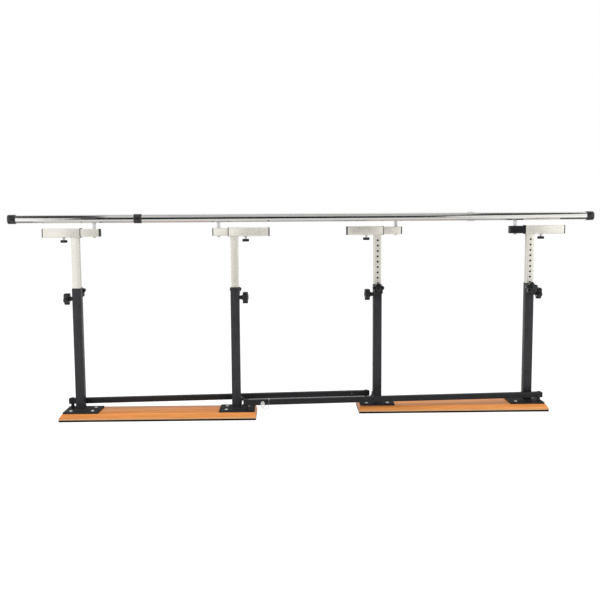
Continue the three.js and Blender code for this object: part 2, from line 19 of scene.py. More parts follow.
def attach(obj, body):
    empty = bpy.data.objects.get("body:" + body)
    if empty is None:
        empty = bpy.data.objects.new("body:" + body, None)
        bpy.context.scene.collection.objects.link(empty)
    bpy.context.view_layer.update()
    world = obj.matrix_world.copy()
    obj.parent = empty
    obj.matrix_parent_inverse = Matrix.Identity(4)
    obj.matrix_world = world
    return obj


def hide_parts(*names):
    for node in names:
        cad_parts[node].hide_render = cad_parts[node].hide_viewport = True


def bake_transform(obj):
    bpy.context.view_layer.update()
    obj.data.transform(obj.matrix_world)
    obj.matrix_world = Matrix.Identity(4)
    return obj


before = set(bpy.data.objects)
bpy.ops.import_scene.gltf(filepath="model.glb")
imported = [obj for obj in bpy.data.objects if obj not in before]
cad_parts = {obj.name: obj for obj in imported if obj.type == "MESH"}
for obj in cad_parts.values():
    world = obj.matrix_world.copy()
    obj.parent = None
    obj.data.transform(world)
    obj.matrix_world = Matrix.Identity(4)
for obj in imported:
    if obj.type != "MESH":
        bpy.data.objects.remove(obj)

log = logging.getLogger("walking_bars")

METRES = 0.001
QUARTER_TURN = math.pi / 2
FULL_TURN = 2 * math.pi

Point = tuple[float, float, float]
Profile = Sequence[tuple[float, float]]
Ring = list[Vector]


class Side(StrEnum):
    """The board that a part belongs to, and the end of the machine."""

    LEFT = "left"
    RIGHT = "right"


class Spot(StrEnum):
    """Where a post stands on its board: at the machine's end or near its middle."""

    END = "end"
    MID = "mid"


class Lane(StrEnum):
    """The rear or the front one of two like bars."""

    REAR = "rear"
    FRONT = "front"


class Axis(Enum):
    """The way a shape that is made along +Z points once it is in place."""

    UP = Matrix.Identity(4)
    DOWN = Matrix.Rotation(math.pi, 4, "X")
    PLUS_X = Matrix.Rotation(QUARTER_TURN, 4, "Y")
    MINUS_X = Matrix.Rotation(-QUARTER_TURN, 4, "Y")
    PLUS_Y = Matrix.Rotation(-QUARTER_TURN, 4, "X")

    @classmethod
    def along_x(cls, sign: float) -> "Axis":
        """Returns the axis along X with the given sign."""
        return cls.PLUS_X if sign > 0 else cls.MINUS_X


@dataclass(frozen=True)
class Sizes:
    """Lengths in millimetres that several parts share.

    Attributes:
        seat_gap: Clearance between parts that lie on each other.
        sunk: How far a shape runs into the one that it is joined to.
        link_span: Between the two pivots of a link bar.
        post_spacing: Between the two posts of a board.
        shift_x: The machine's middle, from the frame's.
        board_bottom: Height of the wood's underside.
        board_thickness: Of the wood.
        board_width: Of the wood.
        board_edge: Height of the board's upright edge, below the bevel.
        plate_bottom: Height of a foot plate's underside.
        plate_top: Height of its upper side.
        plate_bolt_y: From the board's middle to a row of plate bolts.
        shell: Outside of a lower post, and of a sleeve.
        shell_top: Height of a lower post's upper end.
        clamp_z: Height of the clamp screw.
        index_z: Height of the index pin.
        boss_height: How far the threaded bosses stand out.
        screw_radius: Of clamp screws, index pins, arm screws and lock pins.
        screw_bore: Radius of the holes that they run in.
        stem_gap: Between the tip of a screw and the tube that it can press on.
        slide: Outside of an upper post, and of an arm.
        slide_bottom: Height of an upper post's lower end.
        hole_pitch: Between two index holes.
        sleeve_z: Height of a sleeve's middle.
        arm_screw_x: From a post's middle to the arm's screw.
        rear_reach: From a post's middle to its rail pin, at the rear rail.
        front_reach: The same at the front rail.
        spacer_height: Of the spacer between arm and rail.
        rail_radius: Of a handrail.
        cap_radius: Of a handrail's cap.
        folded_gap: Between a rail and the cap beside it, when folded.
        link_size: Outside of a link bar.
        link_bottom: Height of its underside.
        link_pivot_x: From a post's middle to the link bar's pivot.
        lock_offset: From a link bar's pivot to its lock pin.
        rivet_offset: From the pivot to the lanyard's rivet.
        plug_step: How much shorter a tube is for the visible rim of its plug.
    """

    seat_gap: float = 0.3
    sunk: float = 1
    link_span: float = 1380
    post_spacing: float = 715
    shift_x: float = -8
    board_bottom: float = 4.3
    board_thickness: float = 28
    board_width: float = 180
    board_edge: float = 10
    plate_bottom: float = 32.6
    plate_top: float = 37.6
    plate_bolt_y: float = 36
    shell: float = 40
    shell_top: float = 598
    clamp_z: float = 550
    index_z: float = 578
    boss_height: float = 8
    screw_radius: float = 4
    screw_bore: float = 4.4
    stem_gap: float = 0.25
    slide: float = 35
    slide_bottom: float = 258
    hole_pitch: float = 25
    sleeve_z: float = 848
    arm_screw_x: float = 52
    rear_reach: float = 86
    front_reach: float = 70
    spacer_height: float = 25
    rail_radius: float = 19
    cap_radius: float = 21
    folded_gap: float = 1.913
    link_size: float = 25
    link_bottom: float = 57.6
    link_pivot_x: float = 48
    lock_offset: float = 72
    rivet_offset: float = 101
    plug_step: float = 1.6

    @property
    def pin_spacing(self) -> float:
        """Between the rail pins of one board, measured along it."""
        return self.post_spacing - self.rear_reach - self.front_reach

    @property
    def folded_sine(self) -> float:
        """Sine of the angle between the boards and the bars when folded."""
        return (self.rail_radius + self.cap_radius + self.folded_gap) / self.pin_spacing

    @property
    def folded_angle(self) -> float:
        """Angle between the boards and the bars when folded, in radians."""
        return math.asin(self.folded_sine)

    @property
    def sleeve_bottom(self) -> float:
        """Height of a sleeve's underside."""
        return self.sleeve_z - self.shell / 2

    @property
    def rail_z(self) -> float:
        """Height of a handrail's middle."""
        return (self.sleeve_z + self.slide / 2 + 2 * self.seat_gap + self.spacer_height
                + self.rail_radius)

    @property
    def link_top(self) -> float:
        """Height of a link bar's upper side."""
        return self.link_bottom + self.link_size

    @property
    def link_z(self) -> float:
        """Height of a link bar's middle."""
        return self.link_bottom + self.link_size / 2


SIZES = Sizes()


# Finishes


@dataclass(frozen=True)
class Finish:
    """A procedural surface.

    Attributes:
        name: The material's name.
        slot: Name of the finish's material slot. Not used.
        light: Linear colour of the lighter patches.
        dark: Linear colour of the darker patches.
        metallic: How metallic the surface is.
        roughness: Lowest and highest roughness.
        specular: Strength of the reflection of a surface that isn't metal.
        stretch: How much the mottling is drawn out along each axis, per metre.
        grain: Fineness of the bump, per metre along each axis.
        bump: Height of the bump, in metres.
        coat: Weight of a clear coat.
        coat_roughness: Roughness of that coat.
    """

    name: str
    slot: str
    light: Point
    dark: Point
    metallic: float
    roughness: tuple[float, float]
    specular: float = 0.5
    stretch: Point = (25, 25, 25)
    grain: Point = (1500, 1500, 1500)
    bump: float = 0.00004
    coat: float = 0.0
    coat_roughness: float = 0.1


WOOD = Finish("varnished_birch", "varnished_wood", (0.87, 0.355, 0.10), (0.65, 0.215, 0.045), 0.0,
              (0.26, 0.38), specular=0.28, stretch=(1.1, 34, 34), grain=(14, 900, 900),
              bump=0.00003)
CAP_RUBBER = Finish("satin_cap_rubber", "black_rubber", (0.020, 0.020, 0.021),
                    (0.013, 0.013, 0.014), 0.0, (0.20, 0.32), specular=0.7,
                    grain=(900, 900, 900), bump=0.00003)
# The rubber sheet under the boards is real, but its near-black tone is partly painted shadow: it
# darkens the line where the boards' contact shadow falls
SHEET_RUBBER_AND_SHADE = Finish("sheet_rubber_and_painted_shadow", "black_rubber", (0.007, 0.006, 0.005),
                      (0.004, 0.0035, 0.003), 0.0, (0.7, 0.85), specular=0.05,
                      grain=(900, 900, 900), bump=0.00008)
BLACK_STEEL = Finish("black_powder_coat", "black_steel", (0.034, 0.033, 0.038),
                     (0.025, 0.0245, 0.029), 0.0, (0.34, 0.48), specular=0.34,
                     grain=(800, 800, 800), bump=0.00005)
BRIGHT_STEEL = Finish("satin_plated_steel", "bright_steel", (0.85, 0.82, 0.755),
                      (0.82, 0.79, 0.72), 0.35, (0.26, 0.34), stretch=(9, 9, 9),
                      grain=(700, 700, 700), bump=0.000001)
BAR_COAT = Finish("satin_bar_coat", "black_steel", (0.020, 0.020, 0.022),
                  (0.014, 0.014, 0.016), 0.0, (0.40, 0.55), specular=0.25,
                  grain=(800, 800, 800), bump=0.00005)
PLATE_COAT = Finish("matt_plate_coat", "black_steel", (0.024, 0.024, 0.025),
                    (0.016, 0.016, 0.017), 0.0, (0.55, 0.7), specular=0.12,
                    grain=(500, 500, 500), bump=0.00006)
# Near-black inside of the tubes: painted shade in their bores and index holes
SHADED_BORE = Finish("bore_painted_shade", "black_steel", (0.030, 0.028, 0.026),
                     (0.014, 0.013, 0.013), 0.3, (0.55, 0.75))
# Dark steel for the arm of the right end post alone; the other arms are bright
DARK_STEEL = Finish("dark_end_arm", "dark_steel", (0.016, 0.016, 0.019),
                    (0.011, 0.011, 0.014), 0.0, (0.32, 0.45), specular=0.3,
                    grain=(800, 800, 800), bump=0.00004)
RAIL_CHROME = Finish("polished_chrome", "rail_chrome", (0.86, 0.85, 0.83), (0.80, 0.79, 0.77), 1.0,
                     (0.07, 0.14), stretch=(8, 30, 30), grain=(300, 300, 300), bump=0.000004)
ZINC = Finish("zinc_plating", "zinc", (0.80, 0.80, 0.79), (0.66, 0.66, 0.66), 0.5, (0.28, 0.42),
              stretch=(180, 180, 180))
BLACK_ZINC = Finish("black_zinc_plating", "zinc", (0.030, 0.030, 0.033), (0.016, 0.016, 0.018),
                    0.3, (0.32, 0.48), stretch=(180, 180, 180))
PLASTIC = Finish("moulded_black_plastic", "black_plastic", (0.018, 0.018, 0.020),
                 (0.012, 0.012, 0.013), 0.0, (0.38, 0.5), specular=0.35,
                 grain=(1800, 1800, 1800), bump=0.00003)
KNOB_PLASTIC = Finish("semi_gloss_phenolic", "knob_plastic", (0.012, 0.012, 0.013),
                      (0.007, 0.007, 0.008), 0.0, (0.16, 0.28), specular=0.4, coat=0.2,
                      coat_roughness=0.08)
WIRE = Finish("steel_wire_rope", "wire", (0.60, 0.60, 0.61), (0.36, 0.36, 0.38), 0.9, (0.3, 0.45),
              stretch=(700, 700, 700))


# Node groups and materials


class Nodes:
    """Adds and links shader nodes in one tree."""

    def __init__(self, tree: bpy.types.NodeTree) -> None:
        """Keeps the tree that the nodes go into."""
        self.tree = tree

    def add(self, kind: str, inputs: dict[str | int, object] | None = None,
            **settings: object) -> bpy.types.Node:
        """Adds a node.

        Args:
            kind: Blender's name of the node type.
            inputs: Socket name or number, with a value or the output that feeds it.
            **settings: Properties of the node itself.

        Returns:
            The new node.
        """
        node = self.tree.nodes.new(kind)
        for key, value in settings.items():
            setattr(node, key, value)
        for key, value in (inputs or {}).items():
            if isinstance(value, bpy.types.NodeSocket):
                self.tree.links.new(value, node.inputs[key])
            else:
                node.inputs[key].default_value = value
        return node

    def place(self) -> bpy.types.NodeSocket:
        """Returns the object's own coordinates, in metres."""
        return self.add("ShaderNodeTexCoord").outputs["Object"]

    def stretch(self, place: bpy.types.NodeSocket,
                factor: bpy.types.NodeSocket | Point) -> bpy.types.NodeSocket:
        """Multiplies coordinates along each axis.

        Args:
            place: The coordinates.
            factor: A factor for each axis.

        Returns:
            The stretched coordinates.
        """
        return self.add("ShaderNodeVectorMath", {0: place, 1: factor},
                        operation="MULTIPLY").outputs[0]

    def noise(self, place: bpy.types.NodeSocket, scale: float, detail: float,
              roughness: float = 0.5) -> bpy.types.NodeSocket:
        """Makes a noise.

        Args:
            place: Where it is read.
            scale: Its fineness.
            detail: How many finer layers it has.
            roughness: How strong the finer layers are.

        Returns:
            The noise, from 0 to 1.
        """
        return self.add("ShaderNodeTexNoise", {"Vector": place, "Scale": scale, "Detail": detail,
                                               "Roughness": roughness}).outputs["Fac"]

    def remap(self, value: bpy.types.NodeSocket, span: tuple[float, float],
              result: tuple[bpy.types.NodeSocket | float, bpy.types.NodeSocket | float]
              ) -> bpy.types.NodeSocket:
        """Carries one range of numbers to another.

        Args:
            value: The number.
            span: Its lowest and highest value that count.
            result: What these become.

        Returns:
            The new number.
        """
        return self.add("ShaderNodeMapRange", {
            "Value": value, "From Min": span[0], "From Max": span[1], "To Min": result[0],
            "To Max": result[1]}).outputs["Result"]

    def mix(self, share: bpy.types.NodeSocket, first: object,
            second: object) -> bpy.types.NodeSocket:
        """Mixes two colours.

        Args:
            share: How much of the second one there is.
            first: A colour, or the output that gives it.
            second: The same for the other one.

        Returns:
            The mixed colour.
        """
        factor, first_color, second_color, mixed_color = 0, 6, 7, 2
        return self.add("ShaderNodeMix", {factor: share, first_color: first,
                                          second_color: second},
                        data_type="RGBA").outputs[mixed_color]


def new_group(name: str, inputs: Iterable[tuple[str, str]], outputs: Iterable[tuple[str, str]]
              ) -> tuple[bpy.types.NodeTree, Nodes, bpy.types.Node, bpy.types.Node]:
    """Starts a node group.

    Args:
        name: The group's name.
        inputs: Name and socket type of each input.
        outputs: Name and socket type of each output.

    Returns:
        The group, its node maker, and its input and output nodes.
    """
    group = bpy.data.node_groups.new(name, "ShaderNodeTree")
    for in_out, sockets in (("INPUT", inputs), ("OUTPUT", outputs)):
        for socket, kind in sockets:
            group.interface.new_socket(socket, in_out=in_out, socket_type=kind)
    nodes = Nodes(group)
    return group, nodes, nodes.add("NodeGroupInput"), nodes.add("NodeGroupOutput")


def mottle_group() -> bpy.types.NodeTree:
    """Makes the group that mottles a surface: a colour between two tones, and a roughness.

    Returns:
        The node group.
    """
    group, nodes, given, made = new_group(
        "Mottling",
        [("Stretch", "NodeSocketVector"), ("Light", "NodeSocketColor"),
         ("Dark", "NodeSocketColor"), ("Smooth", "NodeSocketFloat"),
         ("Rough", "NodeSocketFloat")],
        [("Color", "NodeSocketColor"), ("Roughness", "NodeSocketFloat")])
    scaled = nodes.stretch(nodes.place(), given.outputs["Stretch"])
    broad = nodes.noise(scaled, scale=1.0, detail=5.0, roughness=0.62)
    fine = nodes.noise(scaled, scale=5.0, detail=3.0)
    share = nodes.remap(broad, (0.32, 0.68), (0.0, 1.0))
    color = nodes.mix(share, given.outputs["Dark"], given.outputs["Light"])
    rough = nodes.remap(fine, (0.3, 0.7), (given.outputs["Smooth"], given.outputs["Rough"]))
    group.links.new(color, made.inputs["Color"])
    group.links.new(rough, made.inputs["Roughness"])
    return group


def grain_group() -> bpy.types.NodeTree:
    """Makes the group that gives a surface its fine relief.

    Returns:
        The node group.
    """
    group, nodes, given, made = new_group(
        "Fine relief", [("Grain", "NodeSocketVector"), ("Height", "NodeSocketFloat")],
        [("Normal", "NodeSocketVector")])
    noise = nodes.noise(nodes.stretch(nodes.place(), given.outputs["Grain"]), scale=1.0,
                        detail=2.0)
    bump = nodes.add("ShaderNodeBump", {"Strength": 1.0, "Distance": given.outputs["Height"],
                                        "Height": noise})
    group.links.new(bump.outputs["Normal"], made.inputs["Normal"])
    return group


@dataclass(frozen=True)
class WoodFigure:
    """Long grain lines over wood, with a paler sawn edge.

    Attributes:
        lines: How much the grain lines are drawn out along each axis, per metre.
        tones: Factor on the colour in the darkest and in the palest line.
        sawn_color: Linear colour of the sawn edge.
        below: Where the edge's colour is full, in metres below the start of the bevel.
        above: Where it has ended, in metres above that.
    """

    lines: Point = (2.6, 95, 95)
    tones: tuple[float, float] = (0.80, 1.08)
    sawn_color: Point = (0.70, 0.40, 0.20)
    below: float = 0.0010
    above: float = 0.0006

    def group(self) -> bpy.types.NodeTree:
        """Makes the node group.

        Returns:
            The node group.
        """
        group, nodes, given, made = new_group(
            "Wood figure", [("Color", "NodeSocketColor")], [("Color", "NodeSocketColor")])
        place = nodes.place()
        lines = nodes.noise(nodes.stretch(place, self.lines), scale=2.2, detail=8.0,
                            roughness=0.7)
        streak = nodes.remap(lines, (0.35, 0.62), self.tones)
        tinted = nodes.add("ShaderNodeVectorMath", {0: given.outputs["Color"], "Scale": streak},
                           operation="SCALE").outputs[0]
        height = nodes.add("ShaderNodeSeparateXYZ", {0: place}).outputs["Z"]
        edge_top = (SIZES.board_bottom + SIZES.board_edge) * METRES
        sawn = nodes.remap(height, (edge_top - self.below, edge_top + self.above), (1.0, 0.0))
        group.links.new(nodes.mix(sawn, tinted, (*self.sawn_color, 1)), made.inputs["Color"])
        return group


def new_material(name: str) -> tuple[bpy.types.Material, Nodes]:
    """Starts a material without any nodes.

    Args:
        name: The material's name.

    Returns:
        The material and its node maker.
    """
    material = bpy.data.materials.new(name)
    material.use_nodes = True
    material.node_tree.nodes.clear()
    return material, Nodes(material.node_tree)


class Paint:
    """Makes each finish's material once, from shared node groups."""

    def __init__(self) -> None:
        """Makes the shared node groups."""
        self.mottle = mottle_group()
        self.grain = grain_group()
        self.figure = WoodFigure().group()
        self.made: dict[str, bpy.types.Material] = {}

    def material(self, finish: Finish) -> bpy.types.Material:
        """Returns the material of a finish, and makes it the first time.

        Args:
            finish: The surface asked for.

        Returns:
            Its material.
        """
        if finish.name in self.made:
            return self.made[finish.name]
        material, nodes = new_material(finish.name)
        smooth, rough = finish.roughness
        mottled = nodes.add("ShaderNodeGroup", node_tree=self.mottle, inputs={
            "Stretch": finish.stretch, "Light": (*finish.light, 1), "Dark": (*finish.dark, 1),
            "Smooth": smooth, "Rough": rough}).outputs
        relief = nodes.add("ShaderNodeGroup", node_tree=self.grain, inputs={
            "Grain": finish.grain, "Height": finish.bump}).outputs
        color = mottled["Color"]
        if finish is WOOD:
            color = nodes.add("ShaderNodeGroup", {"Color": color},
                              node_tree=self.figure).outputs["Color"]
        shader = nodes.add("ShaderNodeBsdfPrincipled", {
            "Base Color": color, "Roughness": mottled["Roughness"],
            "Metallic": finish.metallic, "Specular IOR Level": finish.specular,
            "Coat Weight": finish.coat, "Coat Roughness": finish.coat_roughness,
            "Normal": relief["Normal"]})
        nodes.add("ShaderNodeOutputMaterial", {"Surface": shader.outputs["BSDF"]})
        self.made[finish.name] = material
        return material


# Mesh making


MERGE_DISTANCE = 1e-3  # Points closer than this, in millimetres, count as one
ROUNDED_ANGLE = math.radians(38)  # Edges that bend more than this can be rounded
CREASE_ANGLE = math.radians(31)  # Edges that bend more than this are shaded as creases
# Outline of a weld bead, away from its line and up, as shares of its leg
BEAD_PROFILE = ((1.0, 0.0), (0.86, 0.42), (0.42, 0.86), (-0.1, 1.0))
BEAD_SPACING = 2.2  # Between the points along a bead, in millimetres
BEAD_SWELL = 0.16  # How much the ripples add to a bead and take from it, as a share


def rounded_rectangle(width: float, height: float, radius: float, steps: int = 4) -> list[Point]:
    """Outlines a rectangle with rounded corners, in the XY plane about the origin.

    Args:
        width: Full size along X.
        height: Full size along Y.
        radius: Corner radius.
        steps: Segments in each corner.

    Returns:
        The outline's points, anticlockwise.
    """
    corners = ((1, 1), (-1, 1), (-1, -1), (1, -1))
    outline = []
    for number, (sx, sy) in enumerate(corners):
        for step in range(steps + 1):
            turn = (number + step / steps) * QUARTER_TURN
            outline.append((sx * (width / 2 - radius) + radius * math.cos(turn),
                            sy * (height / 2 - radius) + radius * math.sin(turn), 0.0))
    return outline


def rounded_square(size: float, radius: float, steps: int = 4) -> list[Point]:
    """Outlines a square with rounded corners.

    Args:
        size: Its side.
        radius: Corner radius.
        steps: Segments in each corner.

    Returns:
        The outline's points, anticlockwise.
    """
    return rounded_rectangle(size, size, radius, steps)


def square_tube(size: float, wall: float, corner: float) -> tuple[list[Point], list[Point]]:
    """Outlines a square tube.

    Args:
        size: Its outside.
        wall: Its wall.
        corner: Its outer corner radius.

    Returns:
        The outline of its outside and that of its bore.
    """
    return rounded_square(size, corner), rounded_square(size - 2 * wall, corner - wall)


def polygon(radius: float, sides: int, turn: float = 0.0) -> list[Point]:
    """Outlines a regular polygon in the XY plane.

    Args:
        radius: Distance to its corners.
        sides: How many sides.
        turn: How far it is turned, in radians.

    Returns:
        The outline's points.
    """
    angles = [turn + FULL_TURN * side / sides for side in range(sides)]
    return [(radius * math.cos(a), radius * math.sin(a), 0.0) for a in angles]


def ring(outline: Sequence[Point], z: float, grow: float = 1.0) -> Ring:
    """Lifts an outline to a height.

    Args:
        outline: Points in the XY plane.
        z: The height.
        grow: A factor on the outline's size.

    Returns:
        The lifted points.
    """
    return [Vector((x * grow, y * grow, z)) for x, y, _ in outline]


def drum(radius: float, bottom: float, top: float, bore: float = 0.0
         ) -> list[tuple[float, float]]:
    """Gives the profile of a plain round piece, or of a ring if it has a bore.

    Args:
        radius: Its radius.
        bottom: Height of its lower face.
        top: Height of its upper face.
        bore: Radius of the bore.

    Returns:
        Pairs of radius and height.
    """
    return [(bore, bottom), (radius, bottom), (radius, top), (bore, top)]


def hoop(radius: float, wire: float, steps: int) -> list[tuple[float, float]]:
    """Gives the profile of a closed ring of round wire.

    Args:
        radius: From the ring's middle to that of the wire.
        wire: Radius of the wire.
        steps: Points round the wire.

    Returns:
        Pairs of radius and height.
    """
    angles = [FULL_TURN * step / steps for step in range(steps)]
    return [(radius + wire * math.cos(a), wire * math.sin(a)) for a in angles]


def facing(place: Vector, direction: Vector) -> Matrix:
    """Finds how a shape that is made along +Z gets to a place and faces a direction.

    Args:
        place: Where the shape's origin goes.
        direction: The way its +Z points.

    Returns:
        The matrix that does it.
    """
    turn = Vector((0, 0, 1)).rotation_difference(direction)
    return Matrix.Translation(place) @ turn.to_matrix().to_4x4()


class Solid:
    """A mesh in the making, in millimetres, in the place of its own part."""

    def __init__(self) -> None:
        """Starts with an empty mesh."""
        self.mesh = bmesh.new()
        self.known: set[bmesh.types.BMVert] = set()

    def _settle(self, start: Point, axis: Axis, edge: float, material: int) -> None:
        """Puts what was just made in place, rounds its sharp edges and gives it its material.

        Args:
            start: Where its origin goes.
            axis: The way its +Z points.
            edge: Width of the rounding on sharp edges.
            material: Index of the material.
        """
        fresh = [v for v in self.mesh.verts if v not in self.known]
        bmesh.ops.remove_doubles(self.mesh, verts=fresh, dist=MERGE_DISTANCE)
        fresh = [v for v in self.mesh.verts if v not in self.known]
        matrix = Matrix.Translation(start) @ axis.value
        bmesh.ops.transform(self.mesh, matrix=matrix, verts=fresh)
        faces = list({face for vert in fresh for face in vert.link_faces})
        bmesh.ops.recalc_face_normals(self.mesh, faces=faces)
        for face in faces:
            face.material_index = material
        if edge > 0:
            edges = {e for face in faces for e in face.edges}
            sharp = [e for e in edges if e.calc_face_angle(0) > ROUNDED_ANGLE]
            bmesh.ops.bevel(self.mesh, geom=sharp, offset=edge, segments=2, profile=0.5,
                            affect="EDGES", material=-1, clamp_overlap=True)
        self.known = set(self.mesh.verts)

    def lathe(self, profile: Profile, start: Point = (0, 0, 0), axis: Axis = Axis.UP,
              steps: int = 40, closed: bool = False, edge: float = 0.0,
              material: int = 0) -> None:
        """Spins a profile right round.

        Args:
            profile: Pairs of radius and height.
            start: Where the profile's origin goes.
            axis: The way its height points.
            steps: Segments round the axis.
            closed: Whether the last pair joins the first.
            edge: Width of the rounding on sharp edges.
            material: Index of the material.
        """
        verts = [self.mesh.verts.new((radius, 0, height)) for radius, height in profile]
        pairs = list(zip(verts, verts[1:], strict=False))
        if closed:
            pairs.append((verts[-1], verts[0]))
        edges = [self.mesh.edges.new(pair) for pair in pairs]
        bmesh.ops.spin(self.mesh, geom=verts + edges, cent=(0, 0, 0), axis=(0, 0, 1),
                       angle=FULL_TURN, steps=steps, use_merge=True)
        self._settle(start, axis, edge, material)

    def loft(self, rings: Sequence[Ring], start: Point = (0, 0, 0), axis: Axis = Axis.UP,
             edge: float = 0.0, looped: bool = False, material: int = 0) -> None:
        """Extrudes the first of a row of rings through all others.

        Args:
            rings: The rings, in order, with equal numbers of points.
            start: Where their origin goes.
            axis: The way their +Z points.
            edge: Width of the rounding on sharp edges.
            looped: Whether the last ring joins the first, as in a tube with a bore. Otherwise
                the shape is closed at both.
            material: Index of the material.
        """
        first = last = self.mesh.faces.new([self.mesh.verts.new(point) for point in rings[0]])
        for points in [*rings[1:], rings[0]] if looped else rings[1:]:
            made = bmesh.ops.extrude_face_region(self.mesh, geom=[last])["geom"]
            if last is not first:
                bmesh.ops.delete(self.mesh, geom=[last], context="FACES_ONLY")
            last = next(item for item in made if isinstance(item, bmesh.types.BMFace))
            for vert, point in zip(last.verts, points, strict=True):
                vert.co = point
        if looped:
            bmesh.ops.delete(self.mesh, geom=[first, last], context="FACES_ONLY")
        self._settle(start, axis, edge, material)

    def prism(self, outline: Sequence[Point], length: float, start: Point = (0, 0, 0),
              axis: Axis = Axis.UP, edge: float = 0.0, material: int = 0) -> None:
        """Extrudes an outline along the axis and rounds its sharp edges.

        Args:
            outline: Points in the XY plane.
            length: How far it runs.
            start: Where the outline's origin goes.
            axis: The way it runs.
            edge: Width of the rounding.
            material: Index of the material.
        """
        face = self.mesh.faces.new([self.mesh.verts.new(point) for point in outline])
        made = bmesh.ops.extrude_face_region(self.mesh, geom=[face])["geom"]
        moved = [item for item in made if isinstance(item, bmesh.types.BMVert)]
        bmesh.ops.translate(self.mesh, verts=moved, vec=(0, 0, length))
        self._settle(start, axis, edge, material)

    def tube(self, outer: Sequence[Point], inner: Sequence[Point], length: float,
             start: Point = (0, 0, 0), axis: Axis = Axis.UP, edge: float = 0.3,
             inside: int = 0) -> None:
        """Makes a hollow bar that is open at both ends.

        Args:
            outer: Outline of the outside.
            inner: Outline of the bore, with as many points.
            length: How far it runs.
            start: Where the outlines' origin goes.
            axis: The way it runs.
            edge: Width of the rounding of its rims.
            inside: Index of the material of the bore.
        """
        before = set(self.mesh.faces)
        self.loft([ring(outer, 0), ring(outer, length), ring(inner, length), ring(inner, 0)],
                  start, axis, edge, looped=True)
        back = axis.value.inverted() @ Matrix.Translation(-Vector(start))
        reach = min(math.hypot(x, y) for x, y, _ in outer)
        for face in set(self.mesh.faces) - before:
            middle = back @ face.calc_center_median()
            normal = back.to_3x3() @ face.normal
            if math.hypot(middle.x, middle.y) < reach and normal.xy.dot(middle.xy) < 0:
                face.material_index = inside

    def bead(self, outline: Sequence[Point], leg: float, start: Point = (0, 0, 0),
             axis: Axis = Axis.UP, ripples: int = 48) -> None:
        """Lays a weld bead round an outline, with the ripples of a hand weld.

        Args:
            outline: The line that the bead follows, in the XY plane.
            leg: How far the bead reaches along each face.
            start: Where the outline's origin goes.
            axis: The way the bead climbs.
            ripples: Ripples round the bead.
        """
        middle = sum(math.hypot(x, y) for x, y, _ in outline) / len(outline)
        points = [Vector(point) for point in outline]
        dense = []
        for here, after in zip(points, points[1:] + points[:1], strict=True):
            steps = max(1, round((after - here).length / BEAD_SPACING))
            dense += [here.lerp(after, step / steps) for step in range(steps)]
        rings = []
        for across, up in BEAD_PROFILE:
            row = []
            for number, point in enumerate(dense):
                swell = 1 + BEAD_SWELL * math.sin(FULL_TURN * ripples * number / len(dense))
                out = point.normalized() * (across * leg * swell * point.length / middle)
                row.append(point + out + Vector((0, 0, up * leg * swell)))
            rings.append(row)
        self.loft(rings, start, axis, looped=True)

    def move(self, matrix: Matrix) -> None:
        """Carries all that was made so far to another place."""
        bmesh.ops.transform(self.mesh, matrix=matrix, verts=self.mesh.verts)

    def absorb(self, other: bpy.types.Mesh) -> None:
        """Takes in the faces of a finished mesh, which is then deleted."""
        self.mesh.from_mesh(other)
        bpy.data.meshes.remove(other)
        self.known = set(self.mesh.verts)

    def data(self, name: str) -> bpy.types.Mesh:
        """Writes the mesh out, with sharp creases kept sharp.

        Args:
            name: The new mesh's name.

        Returns:
            The mesh, still in millimetres.
        """
        for face in self.mesh.faces:
            face.smooth = True
        for edge in self.mesh.edges:
            edge.smooth = edge.calc_face_angle(0) < CREASE_ANGLE
        data = bpy.data.meshes.new(name)
        self.mesh.to_mesh(data)
        self.mesh.free()
        return data


def add_object(name: str, data: bpy.types.ID) -> bpy.types.Object:
    """Adds an object to the scene.

    Args:
        name: The object's name.
        data: Its mesh, camera or lamp.

    Returns:
        The new object.
    """
    item = bpy.data.objects.new(name, data)
    bpy.context.scene.collection.objects.link(item)
    return item


def cut_holes(data: bpy.types.Mesh, cutters: bpy.types.Mesh) -> bpy.types.Mesh:
    """Cuts one mesh out of another, and deletes both.

    Args:
        data: The mesh to cut.
        cutters: What is taken away.

    Returns:
        The cut mesh.
    """
    whole, taken = (add_object(mesh.name, mesh) for mesh in (data, cutters))
    boolean = whole.modifiers.new("Holes", "BOOLEAN")
    boolean.operation, boolean.solver, boolean.object = "DIFFERENCE", "EXACT", taken
    graph = bpy.context.evaluated_depsgraph_get()
    result = bpy.data.meshes.new_from_object(whole.evaluated_get(graph))
    for item, mesh in ((whole, data), (taken, cutters)):
        bpy.data.objects.remove(item)
        bpy.data.meshes.remove(mesh)
    return result


@dataclass
class Workshop:
    """Turns solids into pieces that ride on the frame."""

    paint: Paint = field(default_factory=Paint)
    pieces: list[bpy.types.Object] = field(default_factory=list)

    def publish(self, solid: Solid, name: str, place: Matrix, finishes: Sequence[Finish],
                body: str | None, node: str | None = None) -> bpy.types.Object:
        """Makes one piece of the object.

        Args:
            solid: The shape, in millimetres in its part's place.
            name: The piece's name.
            place: Carries the part's place to the shared frame, still in millimetres.
            finishes: Its surfaces, in the order of its material indices.
            body: The CAD body that it rides on, or None for a piece that rides on none.
            node: The CAD node that it stands for, if it stands for one.

        Returns:
            The new object.
        """
        data = solid.data(name)
        data.transform(Matrix.Scale(METRES, 4) @ place)
        for finish in finishes:
            data.materials.append(self.paint.material(finish))
        piece = add_object(name, data)
        if body:
            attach(piece, body)
        if node:
            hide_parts(node)
        self.pieces.append(piece)
        return piece


class Part(Protocol):
    """A sub-assembly of the machine."""

    def build(self, shop: Workshop) -> None:
        """Makes the pieces of the sub-assembly in the given workshop."""


# The parts


